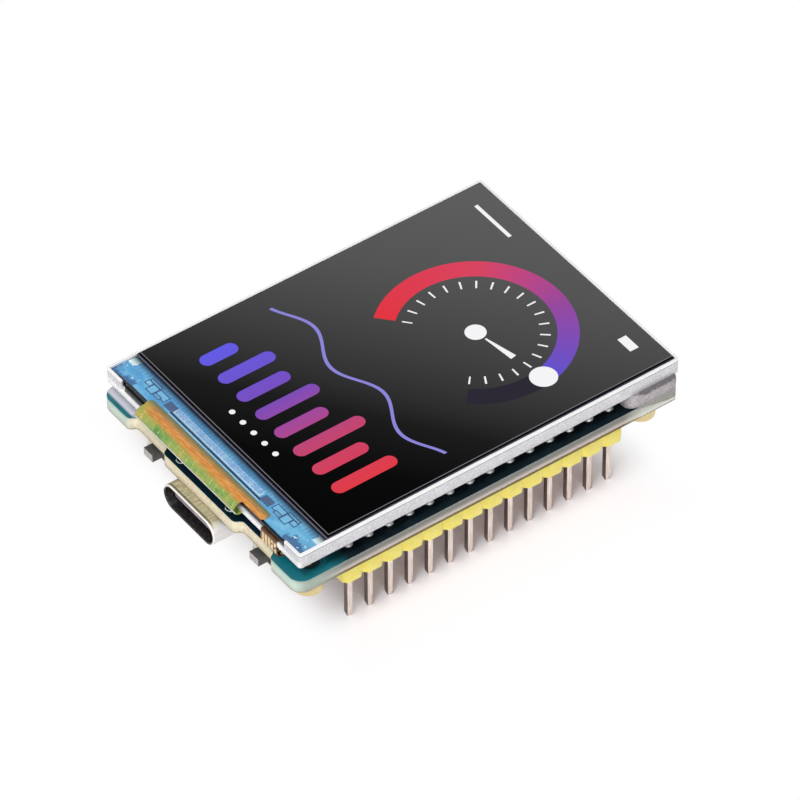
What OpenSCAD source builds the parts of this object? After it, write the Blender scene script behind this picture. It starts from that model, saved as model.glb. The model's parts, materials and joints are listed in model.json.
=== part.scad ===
// Display development board: a colour display module held on foam tape above a
// circuit board that stands on two rows of header pins. All sizes in millimetres.
// X runs along the short side, Y from the socket end to the far end, Z up out of the screen.
// The origin is under the middle of the assembly, level with the pin tips.

/* [Circuit board] */
// Width of the board, along X
board_w = 34.8; // [31:0.2:40]
// Length of the board, along Y
board_l = 48.1; // [43:0.1:56]
// Thickness of the board
board_t = 1.6; // [1:0.1:2]
// Corner radius of the board at the socket end
board_corner_r = 1.5; // [0.5:0.1:2]
// Corner radius of the board at the far end
board_far_r = 0.4; // [0.2:0.1:2]
// Board left on each side of the socket before the front edge's notches begin
tab_margin = 1.33; // [1:0.01:1.6]
// Depth of each button notch in the front edge
notch_d = 0.85; // [0.5:0.05:1.1]
// Radius of the notch's flowing corners
notch_r = 0.65; // [0.6:0.05:0.9]

/* [Pin headers] */
// Spacing of the pins; each row has as many as fit between the nuts
pin_pitch = 2.54; // [2.3:0.02:2.8]
// Least clear length between a plastic strip and the nuts
strip_nut_gap = 1.4; // [1.2:0.1:3]
// Side of the square pins
pin_side = 0.64; // [0.5:0.02:0.7]
// Length of the pins below the plastic strip
pin_below = 6.0; // [4:0.1:9]
// Length of the pin ends above the board
pin_above = 1.1; // [0.7:0.1:1.4]
// Height of the plastic strip
strip_h = 2.5; // [2.4:0.05:3.5]
// Width of the plastic strip
strip_w = 2.5; // [2.1:0.05:2.7]
// Distance from a pin row to the board's long edge
row_inset = 1.75; // [1.5:0.05:2.2]
// Shift of the pin rows towards the socket end
row_shift = 0.15; // [0:0.05:0.6]
// Diameter of the plated holes for the pins
pin_hole_d = 1.02; // [1:0.02:1.1]
// Radius of the solder joints on the pins
solder_r = 0.6; // [0.55:0.05:0.95]
// Height of the solder joints on the pins
solder_h = 0.8; // [0.4:0.05:0.9]

/* [Threaded nuts] */
// Outside diameter of the nuts under the corners
nut_d = 3.2; // [2.8:0.1:3.6]
// Height of the nuts
nut_h = 2.2; // [1.4:0.1:2.4]
// Bore of the nuts
nut_bore_d = 1.6; // [1.2:0.05:1.9]
// Diameter of the nuts' collars in the board's holes
nut_collar_d = 2.5; // [2.4:0.05:2.7]
// Distance from a nut's centre to the board's long edge
nut_inset_x = 2.4; // [2.2:0.1:3]
// Distance from a nut's centre to the board's short edge
nut_inset_y = 2.9; // [2.6:0.1:3.3]

/* [Socket] */
// Width of the socket's shell
usb_w = 8.94; // [8:0.02:10]
// Height of the socket's shell
usb_h = 3.16; // [2.8:0.02:3.5]
// Length of the socket's shell
usb_l = 7.35; // [6.5:0.05:9]
// Wall of the socket's shell
usb_wall = 0.3; // [0.2:0.02:0.35]
// How far the socket's mouth stands out past the board's front edge
usb_out = 1.3; // [1:0.05:2.5]
// Depth from the mouth to the tip of the tongue inside
usb_tip_recess = 0.7; // [0.4:0.05:1.2]

/* [Buttons] */
// Clear width between a switch's terminals and the nut beside it
switch_nut_gap = 1.2; // [0.4:0.05:1.4]
// Width of a plunger
plunger_w = 1.6; // [1.2:0.1:2]
// Height of a plunger
plunger_h = 1.0; // [0.8:0.05:1.2]
// Length of a plunger outside its switch
plunger_out = 1.5; // [0.8:0.05:1.6]
// Travel of a plunger
plunger_travel = 0.25; // [0.15:0.05:0.35]
// Width of a switch
switch_w = 4.5; // [4:0.1:5]
// Depth of a switch
switch_d = 3.0; // [2.8:0.1:3.6]
// Height of a switch below the board
switch_h = 2.5; // [2.4:0.05:2.9]
// Distance from the board's front edge to a switch's front face
switch_inset = 1.7; // [1.65:0.05:2.2]

/* [Display module] */
// Width of the display module
lcd_w = 34.1; // [30:0.1:38]
// Length of the display module
lcd_l = 48.05; // [43:0.05:54]
// Distance from the board's front edge to the module's front
lcd_setback = 0.5; // [0.3:0.05:1]
// Clear height between the board and the module
lcd_gap = 1.7; // [1.5:0.05:2.6]
// Thickness of the metal tray's floor
tray_t = 0.2; // [0.12:0.02:0.24]
// Thickness of the tray's walls, which are folded back on themselves
tray_wall = 0.3; // [0.2:0.02:0.34]
// Height of the tray's side walls
tray_h = 1.9; // [1.7:0.05:2.1]
// Height of the tray's low lip at the front
tray_lip_h = 0.65; // [0.45:0.05:0.8]
// Width of the two full-height tabs at the tray's front corners
tray_tab_w = 2.7; // [2:0.1:4]
// Outside corner radius of the tray
tray_corner_r = 0.35; // [0.35:0.05:0.8]
// Thickness of the reflector film
reflector_t = 0.1; // [0.06:0.02:0.16]
// Thickness of the light guide
guide_t = 0.55; // [0.5:0.05:0.7]
// Thickness of the stack of diffuser and prism films
films_t = 0.2; // [0.16:0.02:0.26]
// Thickness of the black rim tape
tape_t = 0.1; // [0.06:0.02:0.12]
// Thickness of each polarizer
polarizer_t = 0.12; // [0.1:0.01:0.16]
// Thickness of each glass plate
glass_t = 0.3; // [0.25:0.05:0.4]
// Distance from the polarizers to the module's sides and far end
polarizer_inset = 0.4; // [0.4:0.01:0.9]
// Depth of the open glass ledge, from the module's front to the polarizers
ledge_l = 3.77; // [3.4:0.01:4.6]
// Distance from the glass edge to the module's front
glass_inset = 0.45; // [0.4:0.05:0.7]

/* [Driver and flexes] */
// Distance from the module's sides to the ends of the driver chip on the glass ledge
driver_side = 9.5; // [6.5:0.05:10]
// Width of the driver chip
driver_w = 0.75; // [0.6:0.05:0.9]
// Height of the driver chip
driver_h = 0.25; // [0.15:0.05:0.3]
// Distance from the module's front to the middle of the driver chip
driver_y = 2.2; // [2.1:0.05:2.5]
// Thickness of the flexes
flex_t = 0.12; // [0.08:0.02:0.16]
// Distance from the module's sides to the display flex where it is bonded to the glass
flex_bond_side = 6.55; // [5:0.05:8]
// Length of the bond on the glass
flex_bond_l = 0.85; // [0.6:0.05:0.95]
// Distance from the module's left side to the folded part of the display flex
flex_left_side = 6.65; // [5.5:0.05:8]
// Distance from the module's right side to the folded part of the display flex
flex_right_side = 10.05; // [8:0.05:12]
// Distance from the module's right side to the backlight tail
tail_side = 3.95; // [3.4:0.05:5]
// Width of the backlight tail
tail_w = 2.7; // [1.6:0.1:3]

/* [Hidden] */
$fn = 48;

// Places along Y: the whole assembly is centred on the origin
far_reach = max(board_l, lcd_setback + lcd_l);
board_y0 = usb_out - (usb_out + far_reach) / 2;
board_y1 = board_y0 + board_l;
board_cy = (board_y0 + board_y1) / 2;
lcd_y0 = board_y0 + lcd_setback;
lcd_y1 = lcd_y0 + lcd_l;

// Heights of the layers, from the pin tips up
strip_z = pin_below;
board_z = strip_z + strip_h;
board_top = board_z + board_t;
lcd_z = board_top + lcd_gap;
floor_z = lcd_z + tray_t;
guide_z = floor_z + reflector_t;
films_z = guide_z + guide_t;
tape_z = films_z + films_t;
rear_polarizer_z = tape_z + tape_t;
tft_z = rear_polarizer_z + polarizer_t;
filter_z = tft_z + glass_t;
front_polarizer_z = filter_z + glass_t;

// Pin rows
row_x = board_w / 2 - row_inset;
row_cy = board_cy - row_shift;
pin_count = floor((board_l - 2 * (nut_inset_y + nut_d / 2 + strip_nut_gap)) / pin_pitch);
strip_chamfer = 0.5;
pin_l = pin_below + strip_h + board_t + pin_above;
pin_tip_l = 0.5;
pin_tip_w = 0.34;
solder_neck = 0.5;

// Nuts
nut_x = board_w / 2 - nut_inset_x;
nut_y = board_l / 2 - nut_inset_y;
collar_clearance = 0.05;
collar_l = board_t;
nut_chamfer = 0.2;

// Socket
usb_y0 = board_y0 - usb_out;
usb_y1 = usb_y0 + usb_l;
usb_z = board_z - usb_h / 2;
usb_fit = 0.02;
usb_block_l = 2.4;
usb_tongue_w = 6.7;
usb_tongue_t = 0.7;
usb_step_l = 1.0;
usb_step_t = 1.2;
usb_pad_count = 12;
usb_pad_pitch = 0.5;
usb_pad_w = 0.26;
usb_pad_t = 0.05;
usb_pad_inset = 0.3;
usb_tail_l = 0.8;
usb_tail_t = 0.15;
usb_leg_w = [0.9, 1.1];
usb_leg_front = 0.95;
usb_leg_back = 1.0;
usb_leg_y = [board_y0 + usb_leg_front, usb_y1 - usb_leg_back];
usb_leg_clearance = 0.12;
usb_leg_short = 0.2;
usb_leg_l = board_t - usb_leg_short;
front_tab_w = usb_w + 2 * tab_margin;

// Switches
switch_y0 = board_y0 + switch_inset;
switch_y1 = switch_y0 + switch_d;
switch_wall = 0.6;
switch_floor = 0.45;
switch_fit = 0.06;
cover_t = 0.15;
cover_clip_l = 1.4;
cover_clip_h = 1.3;
plunger_z = board_z - switch_h / 2;
dome_w = 2.4;
dome_t = 0.08;
dome_rise = 0.45;
dome_h = 1.2;
dome_gap = 0.04;
dome_clearance = 0.02;
flange_clearance = 0.2;
flange_w = switch_w - 2 * switch_wall - 2 * flange_clearance;
flange_h = switch_h - 2 * (switch_floor + flange_clearance);
flange_t = switch_d - 2 * switch_wall - switch_fit - plunger_travel - dome_gap - dome_rise;
terminal_l = 0.6;
terminal_w = 0.5;
terminal_t = 0.2;
button_x = nut_x - nut_d / 2 - switch_nut_gap - terminal_l - switch_w / 2;
notch_w = 2 * (button_x - front_tab_w / 2);

// Parts under the board: places are measured from the middle of the board
mcu_at = [-2.5, -4.0];
mcu_size = [7, 7, 0.85];
flash_at = [6.5, -4.0];
flash_size = [6, 5, 0.8];
crystal_at = [-9.0, -4.0];
crystal_size = [2.5, 3.2, 0.7];
motion_at = [-9.5, 1.5];
motion_size = [2.5, 3.0, 0.86];
regulator_at = [9.0, -11.5];
regulator_size = [2.9, 1.6, 1.1];
regulator_leads = [[3, 0.95], [2, 1.9]];
charger_at = [-9.0, -11.5];
charger_size = [4.9, 3.9, 1.45];
charger_leads = [[4, 1.27], [4, 1.27]];
antenna_at = [-10.0, 9.5];
antenna_size = [2.0, 5.2, 1.1];
lead_t = 0.18;
lead_w = 0.4;
lead_reach = 0.9;
lead_foot = 0.45;
chip_mark_d = 0.6;
chip_mark_depth = 0.06;
chip_size = [1.6, 0.8, 0.8];
resistor_h = 0.45;
chip_cap_l = 0.3;
capacitor_pitch = 1.7;
capacitor_rows = [[-5.05, 1.3, 4], [3.2, 0.6, 4], [7.9, -14.6, 2], [-11.0, -15.2, 3]];
resistor_rows = [[-1.7, -12.8, 3], [-1.7, -10.6, 3], [9.9, 0.6, 2]];
led_strip_gap = 1.4;
led_y = 16.0;
led_pitch = 2.2;
led_size = [1.6, 0.8, 0.5];
led_lens = [0.9, 0.7, 0.3];
led_at = [led_strip_gap + (strip_w + led_size[0]) / 2 - row_x, led_y];

// Battery socket
battery_at_x = -8.6;
battery_size = [5.4, 4.4, 2.9];
battery_wall = 0.55;
battery_depth = 3.4;
battery_edge = 0.3;
battery_pin_pitch = 1.25;
battery_pin_side = 0.4;
battery_pin_l = 3.0;
battery_foot = 1.0;

// Card slot
card_at_x = 4.4;
card_w = 14.0;
card_l = 14.6;
card_h = 1.85;
card_shell_t = 0.2;
card_base_t = 0.5;
card_rail_w = 1.2;
card_stop_l = 1.6;
card_fit = 0.02;
card_window_w = 5.0;
card_window_l = 3.2;
card_pad_count = 8;
card_pad_pitch = 1.1;
card_pad_w = 0.6;
card_pad_t = 0.12;
card_pad_l = 7.0;
card_pad_inset = 3.0;
card_y1 = board_y1;
card_y0 = card_y1 - card_l;

// Foam tapes
foam_far_inset = 0.1;
foam_far_gap = 0.79;
foam_far_w = board_w - foam_far_inset;
foam_far_y0 = pin_y(pin_count - 1) + solder_r + foam_far_gap;
foam_far_y1 = min(board_y1, lcd_y1);
foam_far_round = 1.2;
foam_far_r = min(foam_far_round, (foam_far_y1 - foam_far_y0) / 3);
foam_end_r = 0.2;
foam_solder_gap = 2.05;
foam_middle_l = 6.0;
foam_middle_w = 2 * (row_x - solder_r - foam_solder_gap);
foam_flex_gap = 1.2;

// Display module
tray_fit = 0.05;
tray_window_r = 0.35;
frame_x = lcd_w / 2 - tray_wall - tray_fit;
frame_y0 = lcd_y0 + tray_wall + tray_fit;
frame_y1 = lcd_y1 - tray_wall - tray_fit;
frame_side = 0.7;
frame_front = 3.2;
guide_fit = 0.05;
guide_x = frame_x - frame_side - guide_fit;
guide_y0 = frame_y0 + frame_front;
guide_y1 = frame_y1 - frame_side - guide_fit;
led_strip_w = 2.4;
led_strip_side = 4.05;
led_strip_l = lcd_w - 2 * led_strip_side;
led_count = 5;
led_end_gap = 0.7;
led_body = [3.0, 0.85, 0.5];
led_spacing = (led_strip_l - led_body[0] - 2 * led_end_gap) / (led_count - 1);
led_pocket_fit = 0.05;
tape_border = 1.6;
glass_side = 0.02;
glass_x = frame_x - glass_side;
glass_y0 = lcd_y0 + glass_inset;
glass_y1 = frame_y1 - glass_side;
polarizer_x = lcd_w / 2 - polarizer_inset;
polarizer_y0 = lcd_y0 + ledge_l;
polarizer_y1 = lcd_y1 - polarizer_inset;
filter_overhang = 0.15;
filter_y0 = polarizer_y0 - filter_overhang;
driver_x = lcd_w / 2 - driver_side;

// Display flex: a bonded leg, a fold round the module's front, a leg below it and a step down
flex_left_x = flex_left_side - lcd_w / 2;
flex_right_x = lcd_w / 2 - flex_right_side;
flex_bond_w = lcd_w - 2 * flex_bond_side;
flex_fold_out = 0.6;
flex_fold_y = glass_y0 - flex_fold_out;
flex_fold_z = (filter_z + lcd_z) / 2;
flex_fold_r = (filter_z - lcd_z) / 2;
flex_lug_out = 0.4;
flex_lug_y = glass_y0 - flex_lug_out;
flex_lug_r = 0.5;
flex_under_l = 5.0;
flex_step_angle = 60;
flex_step_drop = lcd_gap - flex_t;
flex_step_r = flex_step_drop / (2 * (1 - cos(flex_step_angle)));
flex_step_run = 2 * flex_step_r * sin(flex_step_angle);
flex_step_y = flex_fold_y + flex_under_l;
flex_end_y = flex_step_y + flex_step_run;
flex_end_l = 2.5;

// Backlight tail: over the tray's front lip, down its face and back under the module on the board
tail_right_x = lcd_w / 2 - tail_side;
tail_fold_r = lcd_gap / 2;
tail_front_y = lcd_y0 - flex_t;
tail_fold_y = tail_front_y + tail_fold_r;
tail_fold_z = board_top + tail_fold_r;
tail_top_z = lcd_z + tray_lip_h;
tail_lower_l = 1.6;

// Shared shapes

// A box between two opposite corners
module block(low, high) {
  translate(low) cube(high - low);
}

// A rectangle with round corners, centred
module round_rect(w, l, r) {
  square([w - 2 * r, l], center = true);
  square([w, l - 2 * r], center = true);
  for (x = [-1, 1], y = [-1, 1])
    translate([x * (w / 2 - r), y * (l / 2 - r)]) circle(r);
}

// A rectangle with round corners, centred, with another radius at its far end
module end_rect(w, l, r, far_r) {
  round_rect(w, l, r);
  translate([0, l / 4]) round_rect(w, l / 2, far_r);
}

// A rectangle with fully round ends, centred
module slot_shape(w, h) {
  square([w - h, h], center = true);
  for (x = [-1, 1]) translate([x * (w - h) / 2, 0]) circle(h / 2);
}

// A ring sector between two angles less than half a turn apart
module arc_band(r_mid, t, a0, a1) {
  reach = 3 * (r_mid + t);
  intersection() {
    difference() {
      circle(r_mid + t / 2);
      circle(r_mid - t / 2);
    }
    polygon([[0, 0], reach * [cos(a0), sin(a0)], reach * [cos(a1), sin(a1)]]);
  }
}

// The front half of a ring: a fold that opens towards +Y
module fold_band(r_in, t) {
  intersection() {
    difference() {
      circle(r_in + t);
      circle(r_in);
    }
    translate([-2 * (r_in + t), -2 * (r_in + t)]) square([2 * (r_in + t), 4 * (r_in + t)]);
  }
}

// A profile drawn in Y and Z, drawn out along X from x0 to x1
module along_x(x0, x1) {
  translate([x0, 0, 0]) rotate([90, 0, 90]) linear_extrude(x1 - x0) children();
}

// A part on the board's underside, modelled with +Z pointing away from the board
module under_board(at) {
  translate([at[0], board_cy + at[1], board_z]) mirror([0, 0, 1]) children();
}

function pin_y(i) = row_cy + (i - (pin_count - 1) / 2) * pin_pitch;

// Circuit board

// A shallow bay in the front edge with flowing corners, open towards -Y at y = 0
module notch_shape(w) {
  turn = acos(1 - notch_d / (2 * notch_r));
  run = 2 * notch_r * sin(turn);
  difference() {
    union() {
      polygon([[-w / 2, -notch_d], [-w / 2, 0], [-w / 2 + run / 2, notch_d / 2], [-w / 2 + run, notch_d],
        [w / 2 - run, notch_d], [w / 2 - run / 2, notch_d / 2], [w / 2, 0], [w / 2, -notch_d]]);
      for (s = [-1, 1]) translate([s * (w / 2 - run), notch_d - notch_r]) circle(notch_r);
    }
    for (s = [-1, 1]) translate([s * w / 2, notch_r]) circle(notch_r);
  }
}

module usb_leg_slots() {
  for (s = [-1, 1], i = [0, 1])
    translate([s * (usb_w - usb_wall) / 2, usb_leg_y[i]])
      square([usb_wall + 2 * usb_leg_clearance, usb_leg_w[i] + 2 * usb_leg_clearance], center = true);
}

module circuit_board() {
  color([0.04, 0.38, 0.44]) translate([0, 0, board_z]) linear_extrude(board_t) difference() {
    translate([0, board_cy]) end_rect(board_w, board_l, board_corner_r, board_far_r);
    for (s = [-1, 1]) translate([s * (front_tab_w + notch_w) / 2, board_y0]) notch_shape(notch_w);
    for (s = [-1, 1], i = [0 : pin_count - 1]) translate([s * row_x, pin_y(i)]) circle(d = pin_hole_d);
    for (x = [-1, 1], y = [-1, 1])
      translate([x * nut_x, board_cy + y * nut_y]) circle(d = nut_collar_d + 2 * collar_clearance);
    usb_leg_slots();
  }
}

// Pin headers

module strip_cell() {
  x = strip_w / 2;
  y = pin_pitch / 2;
  c = strip_chamfer;
  polygon([[x, y - c], [x - c, y], [c - x, y], [-x, y - c],
    [-x, c - y], [c - x, -y], [x - c, -y], [x, c - y]]);
}

module header_strip(side) {
  color([0.97, 0.92, 0.42]) translate([side * row_x, 0, strip_z]) linear_extrude(strip_h)
    for (i = [0 : pin_count - 1]) translate([0, pin_y(i)]) difference() {
      strip_cell();
      square(pin_side, center = true);
    }
}

module pin_profile() {
  a = pin_tip_w / 2;
  b = pin_side / 2;
  polygon([[-a, 0], [a, 0], [b, pin_tip_l], [b, pin_l - pin_tip_l], [a, pin_l],
    [-a, pin_l], [-b, pin_l - pin_tip_l], [-b, pin_tip_l]]);
}

module header_pin() {
  intersection() {
    translate([0, pin_side / 2, 0]) rotate([90, 0, 0]) linear_extrude(pin_side) pin_profile();
    along_x(-pin_side / 2, pin_side / 2) pin_profile();
  }
}

module header_pins(side) {
  color([0.75, 0.69, 0.64])
    for (i = [0 : pin_count - 1]) translate([side * row_x, pin_y(i), 0]) header_pin();
}

module solder_joint() {
  difference() {
    rotate_extrude() polygon([[0, 0], [solder_r, 0], [(solder_r + solder_neck) / 2, solder_h * 0.35],
      [solder_neck, solder_h], [0, solder_h]]);
    translate([0, 0, solder_h / 2]) cube([pin_side, pin_side, 2 * solder_h], center = true);
  }
}

module header_solder() {
  color([0.8, 0.8, 0.78])
    for (s = [-1, 1], i = [0 : pin_count - 1]) translate([s * row_x, pin_y(i), board_top]) solder_joint();
}

// Threaded nuts

module threaded_nut() {
  difference() {
    rotate_extrude() polygon([[nut_bore_d / 2, -nut_h], [nut_d / 2 - nut_chamfer, -nut_h],
      [nut_d / 2, nut_chamfer - nut_h], [nut_d / 2, 0], [nut_collar_d / 2, 0],
      [nut_collar_d / 2, collar_l], [nut_bore_d / 2, collar_l]]);
    cylinder(d = nut_bore_d, h = 2 * (nut_h + collar_l), center = true);
  }
}

module threaded_nuts() {
  color([0.9, 0.78, 0.45]) for (x = [-1, 1], y = [-1, 1])
    translate([x * nut_x, board_cy + y * nut_y, board_z]) threaded_nut();
}

// Socket

// A profile drawn in X and Z about the socket's axis, drawn out along Y
module along_socket(y0, y1) {
  translate([0, y0, usb_z]) rotate([-90, 0, 0]) linear_extrude(y1 - y0) children();
}

module usb_shell() {
  color([0.72, 0.69, 0.63]) {
    along_socket(usb_y0, usb_y1) difference() {
      slot_shape(usb_w, usb_h);
      slot_shape(usb_w - 2 * usb_wall, usb_h - 2 * usb_wall);
    }
    for (s = [-1, 1], i = [0, 1]) translate([s * (usb_w - usb_wall) / 2, usb_leg_y[i], usb_z])
      linear_extrude(usb_h / 2 + usb_leg_l) square([usb_wall, usb_leg_w[i]], center = true);
  }
}

module usb_insulator() {
  tip_y = usb_y0 + usb_tip_recess;
  block_y = usb_y1 - usb_block_l;
  color([0.1, 0.1, 0.11]) {
    along_socket(block_y, usb_y1)
      slot_shape(usb_w - 2 * (usb_wall + usb_fit), usb_h - 2 * (usb_wall + usb_fit));
    along_socket(tip_y, block_y) square([usb_tongue_w, usb_tongue_t], center = true);
    along_socket(block_y - usb_step_l, block_y) square([usb_tongue_w, usb_step_t], center = true);
  }
}

module usb_contacts() {
  pad_y0 = usb_y0 + usb_tip_recess + usb_pad_inset;
  pad_y1 = usb_y1 - usb_block_l - usb_step_l;
  color([0.85, 0.7, 0.35]) for (i = [0 : usb_pad_count - 1]) {
    x = (i - (usb_pad_count - 1) / 2) * usb_pad_pitch;
    for (s = [-1, 1]) translate([x, pad_y0, usb_z + s * (usb_tongue_t + usb_pad_t) / 2])
      translate([-usb_pad_w / 2, 0, -usb_pad_t / 2]) cube([usb_pad_w, pad_y1 - pad_y0, usb_pad_t]);
    block([x - usb_pad_w / 2, usb_y1, board_z - usb_tail_t],
      [x + usb_pad_w / 2, usb_y1 + usb_tail_l, board_z]);
  }
}

// Push-button switches

module switch_base(side) {
  cavity_x = switch_w / 2 - switch_wall;
  slot_x = plunger_w / 2 + switch_fit;
  low_z = board_z - switch_h + cover_t;
  color([0.16, 0.16, 0.17]) translate([side * button_x, 0, 0]) difference() {
    block([-switch_w / 2, switch_y0, low_z], [switch_w / 2, switch_y1, board_z]);
    block([-cavity_x, switch_y0 + switch_wall, low_z - cover_t],
      [cavity_x, switch_y1 - switch_wall, board_z - switch_floor]);
    block([-slot_x, switch_y0 - switch_wall, low_z - cover_t],
      [slot_x, switch_y0 + 2 * switch_wall, plunger_z + plunger_h / 2 + switch_fit]);
  }
}

module switch_cover(side) {
  low_z = board_z - switch_h;
  mid_y = (switch_y0 + switch_y1) / 2;
  color([0.78, 0.77, 0.74]) translate([side * button_x, 0, 0]) {
    block([-switch_w / 2 - cover_t, switch_y0, low_z], [switch_w / 2 + cover_t, switch_y1, low_z + cover_t]);
    for (s = [-1, 1]) translate([s * (switch_w + cover_t) / 2, mid_y, low_z])
      linear_extrude(cover_clip_h) square([cover_t, cover_clip_l], center = true);
  }
}

module plunger(side) {
  inner_y = switch_y0 + switch_wall + switch_fit;
  color([0.29, 0.28, 0.27]) translate([side * button_x, 0, plunger_z]) {
    block([-plunger_w / 2, switch_y0 - plunger_out, -plunger_h / 2], [plunger_w / 2, inner_y, plunger_h / 2]);
    block([-flange_w / 2, inner_y, -flange_h / 2], [flange_w / 2, inner_y + flange_t, flange_h / 2]);
  }
}

// A bowed spring plate that stands against the back of each switch's cavity
module switch_domes() {
  rise = dome_rise - dome_t;
  bow_r = (pow(dome_w / 2, 2) + pow(rise, 2)) / (2 * rise);
  half = asin(dome_w / 2 / bow_r);
  seat_y = switch_y1 - switch_wall - dome_clearance;
  color([0.8, 0.8, 0.78]) for (s = [-1, 1])
    translate([s * button_x, seat_y - rise + bow_r, plunger_z - dome_h / 2]) linear_extrude(dome_h)
      arc_band(bow_r + dome_t / 2, dome_t, 270 - half, 270 + half);
}

module switch_terminals() {
  color([0.8, 0.78, 0.74]) for (s = [-1, 1], e = [-1, 1], y = [switch_y0, switch_y1 - terminal_w])
    translate([s * button_x + e * (switch_w + terminal_l) / 2, y + terminal_w / 2, board_z - terminal_t])
      linear_extrude(terminal_t) square([terminal_l, terminal_w], center = true);
}

module boot_switch_base() { switch_base(-1); }
module boot_switch_cover() { switch_cover(-1); }
module boot_plunger() { plunger(-1); }
module reset_switch_base() { switch_base(1); }
module reset_switch_cover() { switch_cover(1); }
module reset_plunger() { plunger(1); }

// Parts under the board

// A moulded package with a shallow pin-one mark on its outer face
module package(size) {
  mark = size[0] / 2 - chip_mark_d;
  difference() {
    linear_extrude(size[2]) square([size[0], size[1]], center = true);
    translate([-mark, size[1] / 2 - chip_mark_d, size[2] - chip_mark_depth])
      cylinder(d = chip_mark_d, h = 2 * chip_mark_depth);
  }
}

// One bent lead that leaves the package's side at x = 0 and runs towards +X to its foot
module gull_lead(h) {
  knee = lead_reach - lead_foot;
  translate([0, lead_w / 2, 0]) rotate([90, 0, 0]) linear_extrude(lead_w)
    polygon([[0, h], [knee - lead_t, h], [knee, lead_t], [lead_reach, lead_t], [lead_reach, 0],
      [knee - lead_t, 0], [knee - 2 * lead_t, h - lead_t], [0, h - lead_t]]);
}

// Two rows of leads along a package's long sides, each row given as [how many, spacing]
module lead_rows(size, rows) {
  for (s = [0, 1], i = [0 : rows[s][0] - 1])
    rotate([0, 0, 90 + 180 * s]) translate([size[1] / 2, (i - (rows[s][0] - 1) / 2) * rows[s][1], 0])
      gull_lead(size[2] / 2);
}

module microcontroller() { color([0.13, 0.13, 0.14]) under_board(mcu_at) package(mcu_size); }
module flash_memory() { color([0.14, 0.14, 0.15]) under_board(flash_at) package(flash_size); }
module motion_sensor() { color([0.16, 0.16, 0.17]) under_board(motion_at) package(motion_size); }

module crystal() {
  lid = 0.25;
  rim = 0.3;
  color([0.76, 0.76, 0.75]) under_board(crystal_at) {
    linear_extrude(crystal_size[2] - lid) square([crystal_size[0], crystal_size[1]], center = true);
    linear_extrude(crystal_size[2]) square([crystal_size[0] - rim, crystal_size[1] - rim], center = true);
  }
}

module voltage_regulator() { color([0.13, 0.13, 0.14]) under_board(regulator_at) package(regulator_size); }
module charger_chip() { color([0.13, 0.13, 0.14]) under_board(charger_at) package(charger_size); }

module chip_leads() {
  color([0.8, 0.8, 0.78]) {
    under_board(regulator_at) lead_rows(regulator_size, regulator_leads);
    under_board(charger_at) lead_rows(charger_size, charger_leads);
  }
}

module chip_antenna() {
  color([0.86, 0.9, 0.92]) under_board(antenna_at)
    linear_extrude(antenna_size[2]) square([antenna_size[0], antenna_size[1]], center = true);
}

// Places of the small chips: each row is [x, y, how many], with x growing along the row
module chip_rows(rows) {
  for (row = rows, i = [0 : row[2] - 1])
    under_board([row[0] + i * capacitor_pitch, row[1]]) children();
}

module chip_body(h) {
  linear_extrude(h) square([chip_size[1], chip_size[0] - 2 * chip_cap_l], center = true);
}

module chip_caps(h) {
  for (s = [-1, 1]) translate([0, s * (chip_size[0] - chip_cap_l) / 2, 0])
    linear_extrude(h) square([chip_size[1], chip_cap_l], center = true);
}

module ceramic_capacitors() { color([0.72, 0.6, 0.45]) chip_rows(capacitor_rows) chip_body(chip_size[2]); }
module chip_resistors() { color([0.1, 0.1, 0.11]) chip_rows(resistor_rows) chip_body(resistor_h); }

module chip_end_caps() {
  color([0.82, 0.82, 0.8]) {
    chip_rows(capacitor_rows) chip_caps(chip_size[2]);
    chip_rows(resistor_rows) chip_caps(resistor_h);
  }
}

module indicator_leds() {
  color([0.93, 0.93, 0.88]) for (i = [0, 1]) under_board([led_at[0], led_at[1] + i * led_pitch]) {
    linear_extrude(led_size[2]) square([led_size[0], led_size[1]], center = true);
    linear_extrude(led_size[2] + led_lens[2]) square([led_lens[0], led_lens[1]], center = true);
  }
}

// Battery socket: open towards +Y

module battery_socket() {
  y1 = board_y1 - battery_edge;
  y0 = y1 - battery_size[1];
  x = battery_size[0] / 2;
  low = board_z - battery_size[2];
  color([0.93, 0.91, 0.85]) translate([battery_at_x, 0, 0]) difference() {
    block([-x, y0, low], [x, y1, board_z]);
    block([battery_wall - x, y1 - battery_depth, low + battery_wall],
      [x - battery_wall, y1 + battery_wall, board_z - battery_wall]);
    for (s = [-1, 1]) translate([s * battery_pin_pitch / 2, y0, (low + board_z) / 2])
      cube([battery_pin_side, 2 * battery_size[1], battery_pin_side], center = true);
  }
}

module battery_socket_pins() {
  y1 = board_y1 - battery_edge;
  y0 = y1 - battery_size[1];
  mid = board_z - battery_size[2] / 2;
  half = battery_pin_side / 2;
  color([0.82, 0.8, 0.72]) for (s = [-1, 1]) translate([battery_at_x + s * battery_pin_pitch / 2, 0, 0]) {
    block([-half, y0 - battery_pin_side, mid - half], [half, y0 + battery_pin_l, mid + half]);
    block([-half, y0 - battery_pin_side, mid - half], [half, y0, board_z]);
    block([-half, y0 - battery_foot, board_z - battery_pin_side], [half, y0, board_z]);
  }
}

// Memory card slot: open towards +Y

module card_slot_base() {
  x = card_w / 2 - card_shell_t - card_fit;
  low = board_z - card_h + card_shell_t + card_fit;
  color([0.12, 0.12, 0.13]) translate([card_at_x, 0, 0]) {
    block([-x, card_y0, board_z - card_base_t], [x, card_y1, board_z]);
    for (s = [-1, 1]) translate([s * (x - card_rail_w / 2), (card_y0 + card_y1) / 2, low])
      linear_extrude(board_z - low) square([card_rail_w, card_l], center = true);
    block([-x, card_y0, low], [x, card_y0 + card_stop_l, board_z]);
  }
}

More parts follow.
